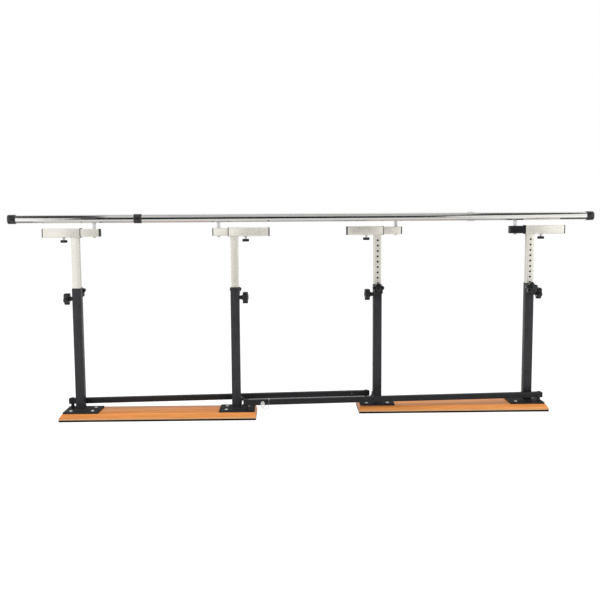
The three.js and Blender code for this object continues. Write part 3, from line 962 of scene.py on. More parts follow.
@dataclass(frozen=True)
class Post:
    """Where one post stands, and what differs between the posts.

    Attributes:
        side: Board that it stands on.
        spot: Its place on that board.
        rail: Handrail that it carries.
        arm_finish: Surface of its arm.
        end_plate_shift: From an end post's centre to its foot plate's middle, inwards.
        mid_plate_shift: The same for a middle post.
        rear_sleeve_end: From the centre to the closed end of the sleeve, at the rear rail.
        front_sleeve_end: The same at the front rail.
    """

    side: Side
    spot: Spot
    rail: Lane
    arm_finish: Finish = BRIGHT_STEEL
    end_plate_shift: float = 11
    mid_plate_shift: float = -4
    rear_sleeve_end: float = 142
    front_sleeve_end: float = 157

    @property
    def name(self) -> str:
        """The ending of its pieces' and nodes' names."""
        return f"{self.side}_{self.spot}"

    @property
    def inward(self) -> int:
        """Which way its arm points along the board's own X."""
        return 1 if self.spot is Spot.END else -1

    @property
    def reach(self) -> float:
        """From the post's centre to its rail pin."""
        return SIZES.rear_reach if self.rail is Lane.REAR else SIZES.front_reach

    @property
    def sleeve_end(self) -> float:
        """From the post's centre to the closed end of its sleeve."""
        return self.rear_sleeve_end if self.rail is Lane.REAR else self.front_sleeve_end

    @property
    def plate_x(self) -> float:
        """The foot plate's middle along X."""
        shift = self.end_plate_shift if self.spot is Spot.END else self.mid_plate_shift
        return self.inward * shift

    @property
    def place(self) -> Matrix:
        """Carries the post's own place to the shared frame."""
        return board_place(self.side) @ Matrix.Translation(
            (-self.inward * SIZES.post_spacing / 2, 0, 0))

    def body(self, kind: str) -> str:
        """Returns the name of one of the post's bodies."""
        return f"{kind}_{self.name}"


POSTS = (Post(Side.LEFT, Spot.END, Lane.REAR), Post(Side.LEFT, Spot.MID, Lane.FRONT),
         Post(Side.RIGHT, Spot.MID, Lane.REAR), Post(Side.RIGHT, Spot.END, Lane.FRONT, DARK_STEEL))


def board_place(side: Side) -> Matrix:
    """Places a board.

    Args:
        side: Which board.

    Returns:
        The matrix that carries the board's own place to the shared frame.
    """
    half = SIZES.link_span / 2
    x, y = half * math.cos(SIZES.folded_angle), half * SIZES.folded_sine
    if side is Side.LEFT:
        return Matrix.Translation((SIZES.shift_x - x, -y, 0))
    return Matrix.Translation((SIZES.shift_x + x, y, 0)) @ Matrix.Rotation(math.pi, 4, "Z")


def bar_place(x: float, y: float, lane: Lane) -> Matrix:
    """Places a bar that lies at the folded angle.

    Args:
        x: Its middle in the shared frame.
        y: The same.
        lane: Which one of its pair it is. The front one is turned half round.

    Returns:
        The matrix that carries the bar's own place to the shared frame.
    """
    turn = SIZES.folded_angle + (math.pi if lane is Lane.FRONT else 0)
    return Matrix.Translation((x, y, 0)) @ Matrix.Rotation(turn, 4, "Z")


@dataclass(frozen=True)
class BaseBoard:
    """A bevelled plywood board with a rubber sheet under it."""

    side: Side
    past_end: float = 82  # From the end post's centre to the board's outer end
    past_mid: float = 92  # From the middle post's centre to its inner end
    bevel: float = 15
    end_bevel: float = 12
    mid_bevel: float = 6
    rounding: float = 1.4
    rounded_angle: float = 20  # Least angle of an edge that is rounded, in degrees
    shadow_lip_height: float = 3.4  # How far the sheet comes up round the wood, as a dark lip that is partly painted shadow along the board's foot
    shadow_lip_width: float = 2
    shadow_lip_rounding: float = 0.4

    def _level(self, z: float, end: float = 0, mid: float = 0, sides: float = 0) -> Ring:
        """Outlines the board at a height.

        Args:
            z: The height.
            end: How far the outline is drawn in at the outer end.
            mid: The same at the inner end.
            sides: The same along the sides.

        Returns:
            The outline's corners.
        """
        half = SIZES.post_spacing / 2
        x0, x1 = -half - self.past_end + end, half + self.past_mid - mid
        y = SIZES.board_width / 2 - sides
        return [Vector(p) for p in ((x0, -y, z), (x1, -y, z), (x1, y, z), (x0, y, z))]

    def _even_level(self, z: float, inset: float) -> Ring:
        """Returns the outline at a height, drawn in by the same length all round."""
        return self._level(z, inset, inset, inset)

    def build(self, shop: Workshop) -> None:
        """Makes the board and its sheet.

        Args:
            shop: Where the pieces are made.
        """
        body, place, gap = f"base_{self.side}", board_place(self.side), SIZES.seat_gap
        bottom = SIZES.board_bottom
        wood, lip = Solid(), bottom + self.shadow_lip_height
        rebate, inside = self.shadow_lip_width + 2 * gap, self.shadow_lip_width + gap
        wood.loft([self._even_level(bottom, rebate), self._even_level(lip, rebate),
                   self._level(lip), self._level(bottom + SIZES.board_edge),
                   self._level(bottom + SIZES.board_thickness, self.end_bevel, self.mid_bevel,
                               self.bevel)])
        angle, lowest = math.radians(self.rounded_angle), lip - MERGE_DISTANCE
        edges = [e for e in wood.mesh.edges if e.calc_face_angle_signed(0) > angle
                 and min(v.co.z for v in e.verts) > lowest]
        bmesh.ops.bevel(wood.mesh, geom=edges, offset=self.rounding, segments=3, profile=0.5,
                        affect="EDGES", material=-1, clamp_overlap=True)
        shop.publish(wood, f"board_{self.side}", place, [WOOD], body, f"base_board_{self.side}")
        # The sheet's lip round the wood's foot is rubber that also stands in for the board's
        # contact shadow, as painted shadow
        sheet = Solid()
        sheet.loft([self._even_level(0, gap), self._even_level(lip - gap, gap),
                    self._even_level(lip - gap, inside), self._even_level(bottom - gap, inside)],
                   edge=self.shadow_lip_rounding)
        shop.publish(sheet, f"floor_grip_{self.side}", place, [SHEET_RUBBER_AND_SHADE], body,
                     f"rubber_sheet_{self.side}")


@dataclass(frozen=True)
class LowerPost:
    """Foot plate, black square tube, screw bosses and, at the inner posts, the latch."""

    post: Post
    plate_length: float = 162
    plate_width: float = 140
    plate_corner: float = 8
    wall: float = 2
    corner: float = 4
    foot_weld: float = 4.2
    boss_radius: float = 9
    boss_chamfer: float = 1
    boss_weld: float = 2.0
    boss_weld_radius: float = 8.8
    strap_width: float = 26
    strap_thickness: float = 5
    strap_sunk: float = 0.5  # How far the latch runs into the tube's face
    strap_foot: float = 16  # How far the latch reaches across the tube's face
    eye_radius: float = 13
    bush_radius: float = 8
    bush_length: float = 14.5
    bolt_x: float = 49  # From the plate's middle to its bolts
    washer_radius: float = 8
    washer_height: float = 1.1
    # Radius and height of each ring of a bolt's head
    dome: Profile = ((6.4, 1.0), (6.3, 1.7), (5.6, 3.0), (4.4, 3.9), (3.1, 4.4), (2.6, 4.45))
    head_sides: int = 32
    socket: float = 2.1  # Half the width of the head's hexagonal socket
    socket_top: float = 4.3
    socket_floor: float = 1.6

    def _boss(self, solid: Solid, start: Point, axis: Axis) -> None:
        """Welds a threaded boss on the tube.

        Args:
            solid: The tube.
            start: The boss's place on the tube's middle line.
            axis: The way it faces.
        """
        face, bore, radius = SIZES.shell / 2, SIZES.screw_bore, self.boss_radius
        top, chamfer = face + SIZES.boss_height, self.boss_chamfer
        solid.lathe([(bore, face - SIZES.sunk), (radius, face - SIZES.sunk),
                     (radius, top - chamfer), (radius - chamfer, top), (bore, top)],
                    start, axis, closed=True, edge=0.3)
        seat = Vector(start) + axis.value.to_3x3() @ Vector((0, 0, face))
        solid.bead(polygon(self.boss_weld_radius, 24), self.boss_weld, tuple(seat), axis,
                   ripples=11)

    def _latch(self, solid: Solid) -> None:
        """Welds the lock pin's latch on the tube: a strap with an eye and a bush.

        Args:
            solid: The tube.
        """
        out = -self.post.inward
        axis, face = Axis.along_x(out), SIZES.shell / 2 - self.strap_sunk
        eye_y, foot = SIZES.lock_offset - SIZES.plate_bolt_y, -self.strap_foot
        strap = rounded_rectangle(self.strap_width, eye_y - foot, radius=1, steps=2)
        solid.prism(strap, self.strap_thickness, (out * face, (eye_y + foot) / 2, SIZES.link_z),
                    axis, edge=0.6)
        eye = (out * face, eye_y, SIZES.link_z)
        for radius, length, edge in ((self.eye_radius, self.strap_thickness, 0.5),
                                     (self.bush_radius, self.bush_length, 0.7)):
            solid.lathe(drum(radius, 0, length, SIZES.screw_bore), eye, axis, closed=True,
                        edge=edge)

    def _bolts(self) -> Solid:
        """Makes the domed socket screws with their washers.

        Returns:
            The three screws. The fourth hole holds the link bar's pivot.
        """
        post, bolts = self.post, Solid()
        for sx in (-1, 1):
            for sy in (-1, 1):
                if sx == -post.inward and sy == post.inward:
                    continue
                start = (post.plate_x + sx * self.bolt_x, sy * SIZES.plate_bolt_y,
                         SIZES.plate_top)
                bolts.lathe(drum(self.washer_radius, -SIZES.sunk / 2, self.washer_height), start,
                            edge=0.25)
                dome = [ring(polygon(radius, self.head_sides), z) for radius, z in self.dome]
                socket = [ring(self._socket(), z) for z in (self.socket_top, self.socket_floor)]
                bolts.loft(dome + socket, start)
        return bolts

    def _socket(self) -> list[Point]:
        """Outlines the hexagonal socket.

        Returns:
            As many points as the dome's rim has.
        """
        points = []
        for corner in range(self.head_sides):
            turn = FULL_TURN * corner / self.head_sides
            side = math.fmod(turn, math.pi / 3) - math.pi / 6
            radius = self.socket / math.cos(side)
            points.append((radius * math.cos(turn), radius * math.sin(turn), 0.0))
        return points

    def build(self, shop: Workshop) -> None:
        """Makes the lower post and its floor bolts.

        Args:
            shop: Where the pieces are made.
        """
        post, solid = self.post, Solid()
        plate = rounded_rectangle(self.plate_length, self.plate_width, self.plate_corner, 6)
        solid.prism(plate, SIZES.plate_top - SIZES.plate_bottom,
                    (post.plate_x, 0, SIZES.plate_bottom), edge=0.8, material=1)
        outer, inner = square_tube(SIZES.shell, self.wall, self.corner)
        solid.tube(outer, inner, SIZES.shell_top - SIZES.plate_top + SIZES.sunk,
                   (0, 0, SIZES.plate_top - SIZES.sunk), edge=0.5)
        solid.bead(outer, self.foot_weld, (0, 0, SIZES.plate_top), ripples=40)
        self._boss(solid, (0, 0, SIZES.clamp_z), Axis.along_x(-post.inward))
        self._boss(solid, (0, 0, SIZES.index_z), Axis.PLUS_Y)
        if post.spot is Spot.MID:
            self._latch(solid)
        shop.publish(solid, f"lower_post_{post.name}", post.place, [BLACK_STEEL, PLATE_COAT],
                     f"base_{post.side}", f"post_shell_{post.name}")
        shop.publish(self._bolts(), f"plate_bolts_{post.name}", post.place, [ZINC],
                     f"base_{post.side}")


@dataclass(frozen=True)
class EndPlug:
    """Ribbed plastic plug with a cushioned face for a square tube."""

    size: float
    wall: float
    corner: float
    depth: float = 14
    # Height of each ring of the face, and its share of the tube's outline
    cushion: Profile = ((0.0, 0.985), (0.6, 1.0), (3.3, 1.0), (4.1, 0.965), (4.5, 0.90),
                        (4.6, 0.80))
    play: float = 0.6  # Difference between the tube's bore and the ribs
    rib_height: float = 2  # How far the ribs stand out, on both sides together
    rib_width: float = 1.4
    ribs: tuple[float, ...] = (2.5, 6.5, 10.5)  # Where the ribs start, from the plug's inner end

    def make(self, end: float, direction: int) -> Solid:
        """Makes the plug.

        Args:
            end: Where the bare tube ends along X.
            direction: Which way the plug faces along X.

        Returns:
            The plug.
        """
        plug, axis = Solid(), Axis.along_x(direction)
        face = rounded_square(self.size, self.corner, 5)
        plug.loft([ring(face, z, share) for z, share in self.cushion],
                  (end + direction * SIZES.seat_gap, 0, SIZES.sleeve_z), axis)
        inside = self.size - 2 * self.wall - self.play
        plug.prism(rounded_square(inside - self.rib_height, radius=1), self.depth + SIZES.sunk,
                   (end - direction * self.depth, 0, SIZES.sleeve_z), axis, edge=0.5)
        for rib in self.ribs:
            start = (end - direction * (self.depth - rib), 0, SIZES.sleeve_z)
            plug.prism(rounded_square(inside, radius=1), self.rib_width, start, axis, edge=0.4)
        return plug


@dataclass(frozen=True)
class UpperPost:
    """Bright telescoping tube with its row of holes, and the sleeve on its top."""

    post: Post
    wall: float = 1.8
    corner: float = 3
    hole_radius: float = 4.8
    hole_depth: float = 4  # How deep a hole is cut
    holes_below: int = 4
    holes_above: int = 9
    sleeve_wall: float = 2
    sleeve_corner: float = 4
    sleeve_inward: float = 24  # From the post's centre to the sleeve's open end
    weld: float = 3.0
    screw_boss_radius: float = 7
    screw_boss_height: float = 6  # How far it stands below the sleeve
    screw_boss_weld: float = 1.6
    screw_boss_weld_radius: float = 6.9
    bush_rim: float = 2  # How much wider the guide bush is than the sleeve
    bush_play: float = 1  # How much wider its opening is than the arm
    bush_length: float = 2.5
    bush_corner: float = 4.5
    bush_opening_corner: float = 3

    def build(self, shop: Workshop) -> None:
        """Makes the upper post, its sleeve, its bush and its end plug.

        Args:
            shop: Where the pieces are made.
        """
        post, solid = self.post, Solid()
        solid.absorb(self._column())
        self._sleeve(solid)
        shop.publish(solid, f"upper_post_{post.name}", post.place, [BRIGHT_STEEL, SHADED_BORE],
                     post.body("slide"), f"post_slide_{post.name}")
        self._bush(shop)
        plug = EndPlug(SIZES.shell, self.sleeve_wall, self.sleeve_corner).make(
            -post.inward * (post.sleeve_end - SIZES.plug_step), -post.inward)
        shop.publish(plug, f"sleeve_plug_{post.name}", post.place, [PLASTIC], post.body("slide"),
                     f"sleeve_cap_{post.name}")

    def _column(self) -> bpy.types.Mesh:
        """Makes the upright tube and drills its index holes.

        Returns:
            The drilled tube.
        """
        column, holes, bottom = Solid(), Solid(), SIZES.slide_bottom
        column.tube(*square_tube(SIZES.slide, self.wall, self.corner),
                    SIZES.sleeve_bottom + SIZES.sunk - bottom, (0, 0, bottom), inside=1)
        for step in range(-self.holes_below, self.holes_above + 1):
            holes.lathe(drum(self.hole_radius, -self.hole_depth, self.hole_depth / 2),
                        (0, SIZES.slide / 2, SIZES.index_z + step * SIZES.hole_pitch),
                        Axis.PLUS_Y, steps=24)
        return cut_holes(column.data("column"), holes.data("holes"))

    def _sleeve(self, solid: Solid) -> None:
        """Welds the sleeve across the post, with the boss of the arm's screw below it.

        Args:
            solid: The upper post.
        """
        out, bottom = -self.post.inward, SIZES.sleeve_bottom
        solid.tube(*square_tube(SIZES.shell, self.sleeve_wall, self.sleeve_corner),
                   self.sleeve_inward + self.post.sleeve_end - SIZES.plug_step,
                   (-out * self.sleeve_inward, 0, SIZES.sleeve_z), Axis.along_x(out), edge=0.4,
                   inside=1)
        solid.bead(rounded_square(SIZES.slide, self.corner), self.weld, (0, 0, bottom),
                   Axis.DOWN, ripples=36)
        x, radius, height = out * SIZES.arm_screw_x, self.screw_boss_radius, self.screw_boss_height
        solid.lathe(drum(radius, 0, height + SIZES.sunk, SIZES.screw_bore),
                    (x, 0, bottom - height), closed=True, edge=0.5)
        solid.bead(polygon(self.screw_boss_weld_radius, 20), self.screw_boss_weld,
                   (x, 0, bottom), Axis.DOWN, ripples=9)

    def _bush(self, shop: Workshop) -> None:
        """Puts the plastic guide bush on the open end of the sleeve.

        Args:
            shop: Where the piece is made.
        """
        post, bush = self.post, Solid()
        bush.tube(rounded_square(SIZES.shell + self.bush_rim, self.bush_corner),
                  rounded_square(SIZES.slide + self.bush_play, self.bush_opening_corner),
                  self.bush_length,
                  (post.inward * (self.sleeve_inward + SIZES.seat_gap), 0, SIZES.sleeve_z),
                  Axis.along_x(post.inward), edge=0.6)
        shop.publish(bush, f"guide_bush_{post.name}", post.place, [PLASTIC], post.body("slide"),
                     f"arm_bush_{post.name}")


@dataclass(frozen=True)
class Arm:
    """Sliding square arm, its tip plug and the pivot that carries the rail."""

    post: Post
    hidden: float = 166  # From the rail pin to the arm's hidden end
    tip: float = 24  # From the rail pin to its tip
    wall: float = 1.8
    corner: float = 3
    washer_radius: float = 8
    washer_height: float = 1.2
    head_radius: float = 7.4
    head_height: float = 3.8
    bolt_radius: float = 5
    bolt_below: float = 0.8  # How far it reaches past the arm, counted with the clearance above
    bolt_above: float = 10  # How far it stands into the rail
    bolt_chamfer: float = 0.8
    spacer_radius: float = 8.5
    spacer_rim: float = 1.4
    spacer_slope: float = 1.9  # Height at which the rim's slope has ended
    spacer_neck: float = 0.7  # How much thinner it is between its rims

    def build(self, shop: Workshop) -> None:
        """Makes the arm, its plug and its rail pivot.

        Args:
            shop: Where the pieces are made.
        """
        post, arm = self.post, Solid()
        tip = post.inward * (post.reach + self.tip - SIZES.plug_step)
        arm.tube(*square_tube(SIZES.slide, self.wall, self.corner),
                 self.hidden + self.tip - SIZES.plug_step, (tip, 0, SIZES.sleeve_z),
                 Axis.along_x(-post.inward), inside=1)
        shop.publish(arm, f"arm_{post.name}", post.place, [post.arm_finish, SHADED_BORE],
                     post.body("arm"), f"arm_tube_{post.name}")
        plug = EndPlug(SIZES.slide, self.wall, self.corner).make(tip, post.inward)
        shop.publish(plug, f"arm_plug_{post.name}", post.place, [PLASTIC], post.body("arm"),
                     f"arm_cap_{post.name}")
        self._pivot(shop)

    def _pivot(self, shop: Workshop) -> None:
        """Makes the rail's upright bolt: a hexagon head, a washer, a shank and a spacer.

        Args:
            shop: Where the piece is made.
        """
        post, pivot = self.post, Solid()
        x = post.inward * post.reach
        under = SIZES.sleeve_z - SIZES.slide / 2 - SIZES.seat_gap
        over = SIZES.sleeve_z + SIZES.slide / 2 + SIZES.seat_gap
        pivot.lathe(drum(self.washer_radius, 0, self.washer_height), (x, 0, under), Axis.DOWN,
                    edge=0.3)
        pivot.prism(polygon(self.head_radius, 6), self.head_height,
                    (x, 0, under - self.washer_height), Axis.DOWN, edge=0.6)
        bolt, chamfer = self.bolt_radius, self.bolt_chamfer
        low = -SIZES.slide - self.bolt_below
        high = SIZES.spacer_height + SIZES.seat_gap + self.bolt_above
        pivot.lathe([(0, low), (bolt, low), (bolt, high - chamfer), (bolt - chamfer, high),
                     (0, high)], (x, 0, over), steps=32)
        radius, top = self.spacer_radius, SIZES.spacer_height
        neck, rim, slope = radius - self.spacer_neck, self.spacer_rim, self.spacer_slope
        pivot.lathe([(bolt, 0), (radius, 0), (radius, rim), (neck, slope), (neck, top - slope),
                     (radius, top - rim), (radius, top), (bolt, top)],
                    (x, 0, over), closed=True, edge=0.25)
        shop.publish(pivot, f"rail_pivot_{post.name}", post.place, [ZINC], post.body("arm"),
                     f"rail_pin_{post.name}")


@dataclass(frozen=True)
class StarKnob:
    """Star knob with a metal stem, made outwards from the post's centre line."""

    radius: float = 28
    lobes: int = 5
    lobe_points: int = 16
    scallop: float = 7
    narrowing: float = 1.35  # Power that narrows the hollows
    thickness: float = 24
    stand_off: float = 15  # From the tube's face to the star
    edge: float = 4
    edge_steps: int = 4
    dish: float = 4  # How far inside the edge the raised face starts
    dish_rise: float = 0.4  # How much it is raised
    # Radius and height of each point of the round cap, from the star's face
    cap: Profile = ((0, -4), (13, -4), (13, 0.7), (12, 1.6), (9.5, 2.2), (8.8, 1.5), (7.6, 1.7),
                    (4, 2.8), (0, 3))
    hub_radius: float = 11
    hub_chamfer: float = 1
    hub_sunk: float = 3  # How far the hub runs into the star
    stem_tip_radius: float = 3.4
    stem_chamfer: float = 0.7  # Length of the stem's tapered tip

    def _star(self, inset: float, z: float, first: float) -> Ring:
        """Outlines the lobes at a height.

        Args:
            inset: How far the outline is drawn in.
            z: The height.
            first: Where the first lobe points, in radians.

        Returns:
            The outline.
        """
        points = []
        count = self.lobes * self.lobe_points
        for step in range(count):
            turn = FULL_TURN * step / count
            hollow = (1 - math.cos(self.lobes * turn)) / 2
            radius = self.radius - inset - self.scallop * hollow ** self.narrowing
            points.append(Vector((radius * math.cos(first + turn),
                                  radius * math.sin(first + turn), z)))
        return points

    def build(self, tip: float, hub: float, start: Point, axis: Axis, first: float) -> Solid:
        """Makes one knob.

        Args:
            tip: Where its stem ends, from the post's centre line.
            hub: Length of the hub behind the star.
            start: Its place on that line.
            axis: The way it faces.
            first: Where its first lobe points, in radians.

        Returns:
            The knob. Material 1 is its stem.
        """
        knob, back = Solid(), SIZES.shell / 2 + self.stand_off
        front, edge = back + self.thickness, self.edge
        turns = [step / self.edge_steps * QUARTER_TURN for step in range(self.edge_steps + 1)]
        rings = [self._star(edge * (1 - math.sin(turn)), back + edge * (1 - math.cos(turn)),
                            first) for turn in turns]
        rings += [self._star(edge * (1 - math.cos(turn)), front - edge * (1 - math.sin(turn)),
                             first) for turn in turns]
        rings.append(self._star(edge + self.dish, front + self.dish_rise, first))
        knob.loft(rings, start, axis)
        knob.lathe([(radius, front + up) for radius, up in self.cap], start, axis)
        radius, chamfer = self.hub_radius, self.hub_chamfer
        low, high = back - hub, back + self.hub_sunk
        knob.lathe([(0, low), (radius - chamfer, low), (radius, low + chamfer), (radius, high),
                    (0, high)], start, axis)
        stem = SIZES.screw_radius
        knob.lathe([(0, tip), (self.stem_tip_radius, tip), (stem, tip + self.stem_chamfer),
                    (stem, back), (0, back)], start, axis, steps=24, material=1)
        return knob


@dataclass(frozen=True)
class Controls:
    """The clamp knob, the index knob and the arm's disc screw of one post."""

    post: Post
    disc_radius: float = 15.5
    disc_thickness: float = 12
    disc_drop: float = 12  # From the sleeve to the disc
    flutes: int = 30
    flute_depth: float = 0.35  # Half the depth of a flute
    flute_points: int = 6
    # How far each ring of the rim is drawn in, and its distance from the nearer face
    rim: Profile = ((3.5, 0), (2.0, 0), (0.6, 0.6), (0, 2))
    tip_radius: float = 3.2
    tip_chamfer: float = 0.8  # Length of that tip's taper

    def build(self, shop: Workshop) -> None:
        """Makes the three controls.

        Args:
            shop: Where the pieces are made.
        """
        post, star = self.post, StarKnob()
        tip = SIZES.slide / 2 + SIZES.stem_gap
        lobe_down = math.pi if post.inward > 0 else 0.0
        clamp = star.build(tip, star.stand_off - SIZES.boss_height - SIZES.seat_gap,
                           (0, 0, SIZES.clamp_z), Axis.along_x(-post.inward), lobe_down)
        lobe_up = -QUARTER_TURN
        index = star.build(tip, SIZES.seat_gap, (0, 0, SIZES.index_z), Axis.PLUS_Y, lobe_up)
        for kind, knob in (("clamp", clamp), ("index", index)):
            shop.publish(knob, f"{kind}_star_{post.name}", post.place, [KNOB_PLASTIC, ZINC],
                         post.body(kind), f"{kind}_knob_{post.name}")
        shop.publish(self._disc(), f"arm_clamp_{post.name}", post.place, [PLASTIC, ZINC],
                     post.body("screw"), f"arm_screw_{post.name}")

    def _fluted(self, inset: float, z: float) -> Ring:
        """Outlines the fluted disc at a height.

        Args:
            inset: How far the outline is drawn in.
            z: The height.

        Returns:
            The outline.
        """
        count, rim = self.flutes * self.flute_points, []
        for step in range(count):
            turn = FULL_TURN * step / count
            depth = self.flute_depth * (1 - math.cos(self.flutes * turn))
            radius = self.disc_radius - inset - depth
            rim.append(Vector((radius * math.cos(turn), radius * math.sin(turn), z)))
        return rim

    def _disc(self) -> Solid:
        """Makes the fluted disc with its screw.

        Returns:
            The disc. Material 1 is its screw.
        """
        solid, start = Solid(), (-self.post.inward * SIZES.arm_screw_x, 0, 0)
        top = SIZES.sleeve_bottom - self.disc_drop
        bottom = top - self.disc_thickness
        solid.loft([self._fluted(inset, bottom + up) for inset, up in self.rim]
                   + [self._fluted(inset, top - down) for inset, down in reversed(self.rim)],
                   start)
        low, radius = top - SIZES.sunk, SIZES.screw_radius
        tip = SIZES.sleeve_z - SIZES.slide / 2 - SIZES.stem_gap
        solid.lathe([(0, low), (radius, low), (radius, tip - self.tip_chamfer),
                     (self.tip_radius, tip), (0, tip)], start, steps=24, material=1)
        return solid


@dataclass(frozen=True)
class LinkPivot:
    """Pivot bolt of a link bar: nut, washer, black spacer, shank and domed head."""

    post: Post
    washer_radius: float = 9.5
    washer_height: float = 1.4
    nut_radius: float = 8.9
    nut_height: float = 7.6
    nut_turn: float = 0.3  # How far the nut is turned, in radians
    spacer_radius: float = 7.5
    shank_radius: float = 5
    shank_above: float = 0.5  # How far the shank runs past the bar
    # Radius and height of each point of the head
    head: Profile = ((0, 0), (9, 0), (9, 1), (8, 2.1), (5.6, 3.2), (3, 3.5), (0, 3.5))

    def build(self, shop: Workshop) -> None:
        """Makes the bolt.

        Args:
            shop: Where the piece is made.
        """
        post, bolt, gap = self.post, Solid(), SIZES.seat_gap
        x, y = -post.inward * SIZES.link_pivot_x, post.inward * SIZES.plate_bolt_y
        base, low, top = SIZES.plate_top + gap, SIZES.link_bottom, SIZES.link_top
        nut_bottom = base + self.washer_height
        nut_top = base + self.washer_height + self.nut_height
        bolt.lathe(drum(self.washer_radius, 0, self.washer_height), (x, y, base), edge=0.3)
        bolt.prism(polygon(self.nut_radius, 6, self.nut_turn), self.nut_height,
                   (x, y, nut_bottom), edge=0.7)
        bolt.lathe(drum(self.spacer_radius, 0, low - gap - nut_top), (x, y, nut_top), edge=0.5,
                   material=1)
        bolt.lathe(drum(self.shank_radius, low - SIZES.sunk, top + self.shank_above), (x, y, 0),
                   steps=32)
        bolt.lathe(self.head, (x, y, top + gap))
        shop.publish(bolt, f"link_pivot_{post.name}", post.place, [BLACK_ZINC, BLACK_STEEL],
                     f"base_{post.side}", f"pivot_bolt_{post.name}")


@dataclass(frozen=True)
class Handrail:
    """Polished round rail with a rubber cap over each end."""

    lane: Lane
    length: float = 2134
    wall: float = 2
    spans: int = 8  # Lengthwise divisions of its surface
    cap_length: float = 36
    cap_floor: float = 4  # Thickness of its closed end
    cap_rounding: float = 4
    rounding_steps: int = 6
    # Radius and height of each point of the slightly domed end
    crown: Profile = ((0, 0.8), (12, 0.35))
    # Depth below the cap's surface, and distance from the mouth, of its rolled lip
    lip: Profile = ((0, 3.2), (0.35, 2.6), (0.1, 1.8), (0.1, 0.6), (0.6, 0))

    @property
    def place(self) -> Matrix:
        """Carries the rail's own place, with its axis as X, to the shared frame."""
        offset = SIZES.pin_spacing / 2
        return bar_place(offset if self.lane is Lane.FRONT else -offset, 0, self.lane)

    def build(self, shop: Workshop) -> None:
        """Makes the rail and its caps.

        Args:
            shop: Where the pieces are made.
        """
        body, radius = f"rail_{self.lane}", SIZES.rail_radius
        half = self.length / 2 - self.cap_floor - SIZES.seat_gap
        rail, inner, steps = Solid(), radius - self.wall, self.spans // 2
        outside = [(radius, half * step / steps) for step in range(-steps, steps + 1)]
        rail.lathe([(inner, -half), *outside, (inner, half)], (0, 0, SIZES.rail_z), Axis.PLUS_X,
                   steps=72, closed=True)
        shop.publish(rail, f"grab_rail_{self.lane}", self.place, [RAIL_CHROME], body,
                     f"handrail_{self.lane}")
        for sign in (-1, 1):
            left = (sign < 0) == (self.lane is Lane.REAR)
            end = Side.LEFT if left else Side.RIGHT
            shop.publish(self._cap(sign), f"grab_rail_end_{self.lane}_{end}", self.place,
                         [CAP_RUBBER], body, f"rail_cap_{self.lane}_{end}")

    def _cap(self, sign: int) -> Solid:
        """Makes the cap at one end, closed outwards, with a rolled lip.

        Args:
            sign: Which end, along the rail's own X.

        Returns:
            The cap.
        """
        cap, radius, bend = Solid(), SIZES.cap_radius, self.cap_rounding
        inner, length = SIZES.rail_radius + SIZES.seat_gap, self.cap_length
        turns = [step / self.rounding_steps * QUARTER_TURN
                 for step in range(self.rounding_steps + 1)]
        profile = [*self.crown,
                   *((radius - bend + bend * math.sin(turn), bend - bend * math.cos(turn))
                     for turn in turns),
                   *((radius - depth, length - back) for depth, back in self.lip),
                   (inner, length), (inner, self.cap_floor), (0, self.cap_floor)]
        cap.lathe(profile, (sign * self.length / 2, 0, SIZES.rail_z), Axis.along_x(-sign),
                  steps=72)
        return cap


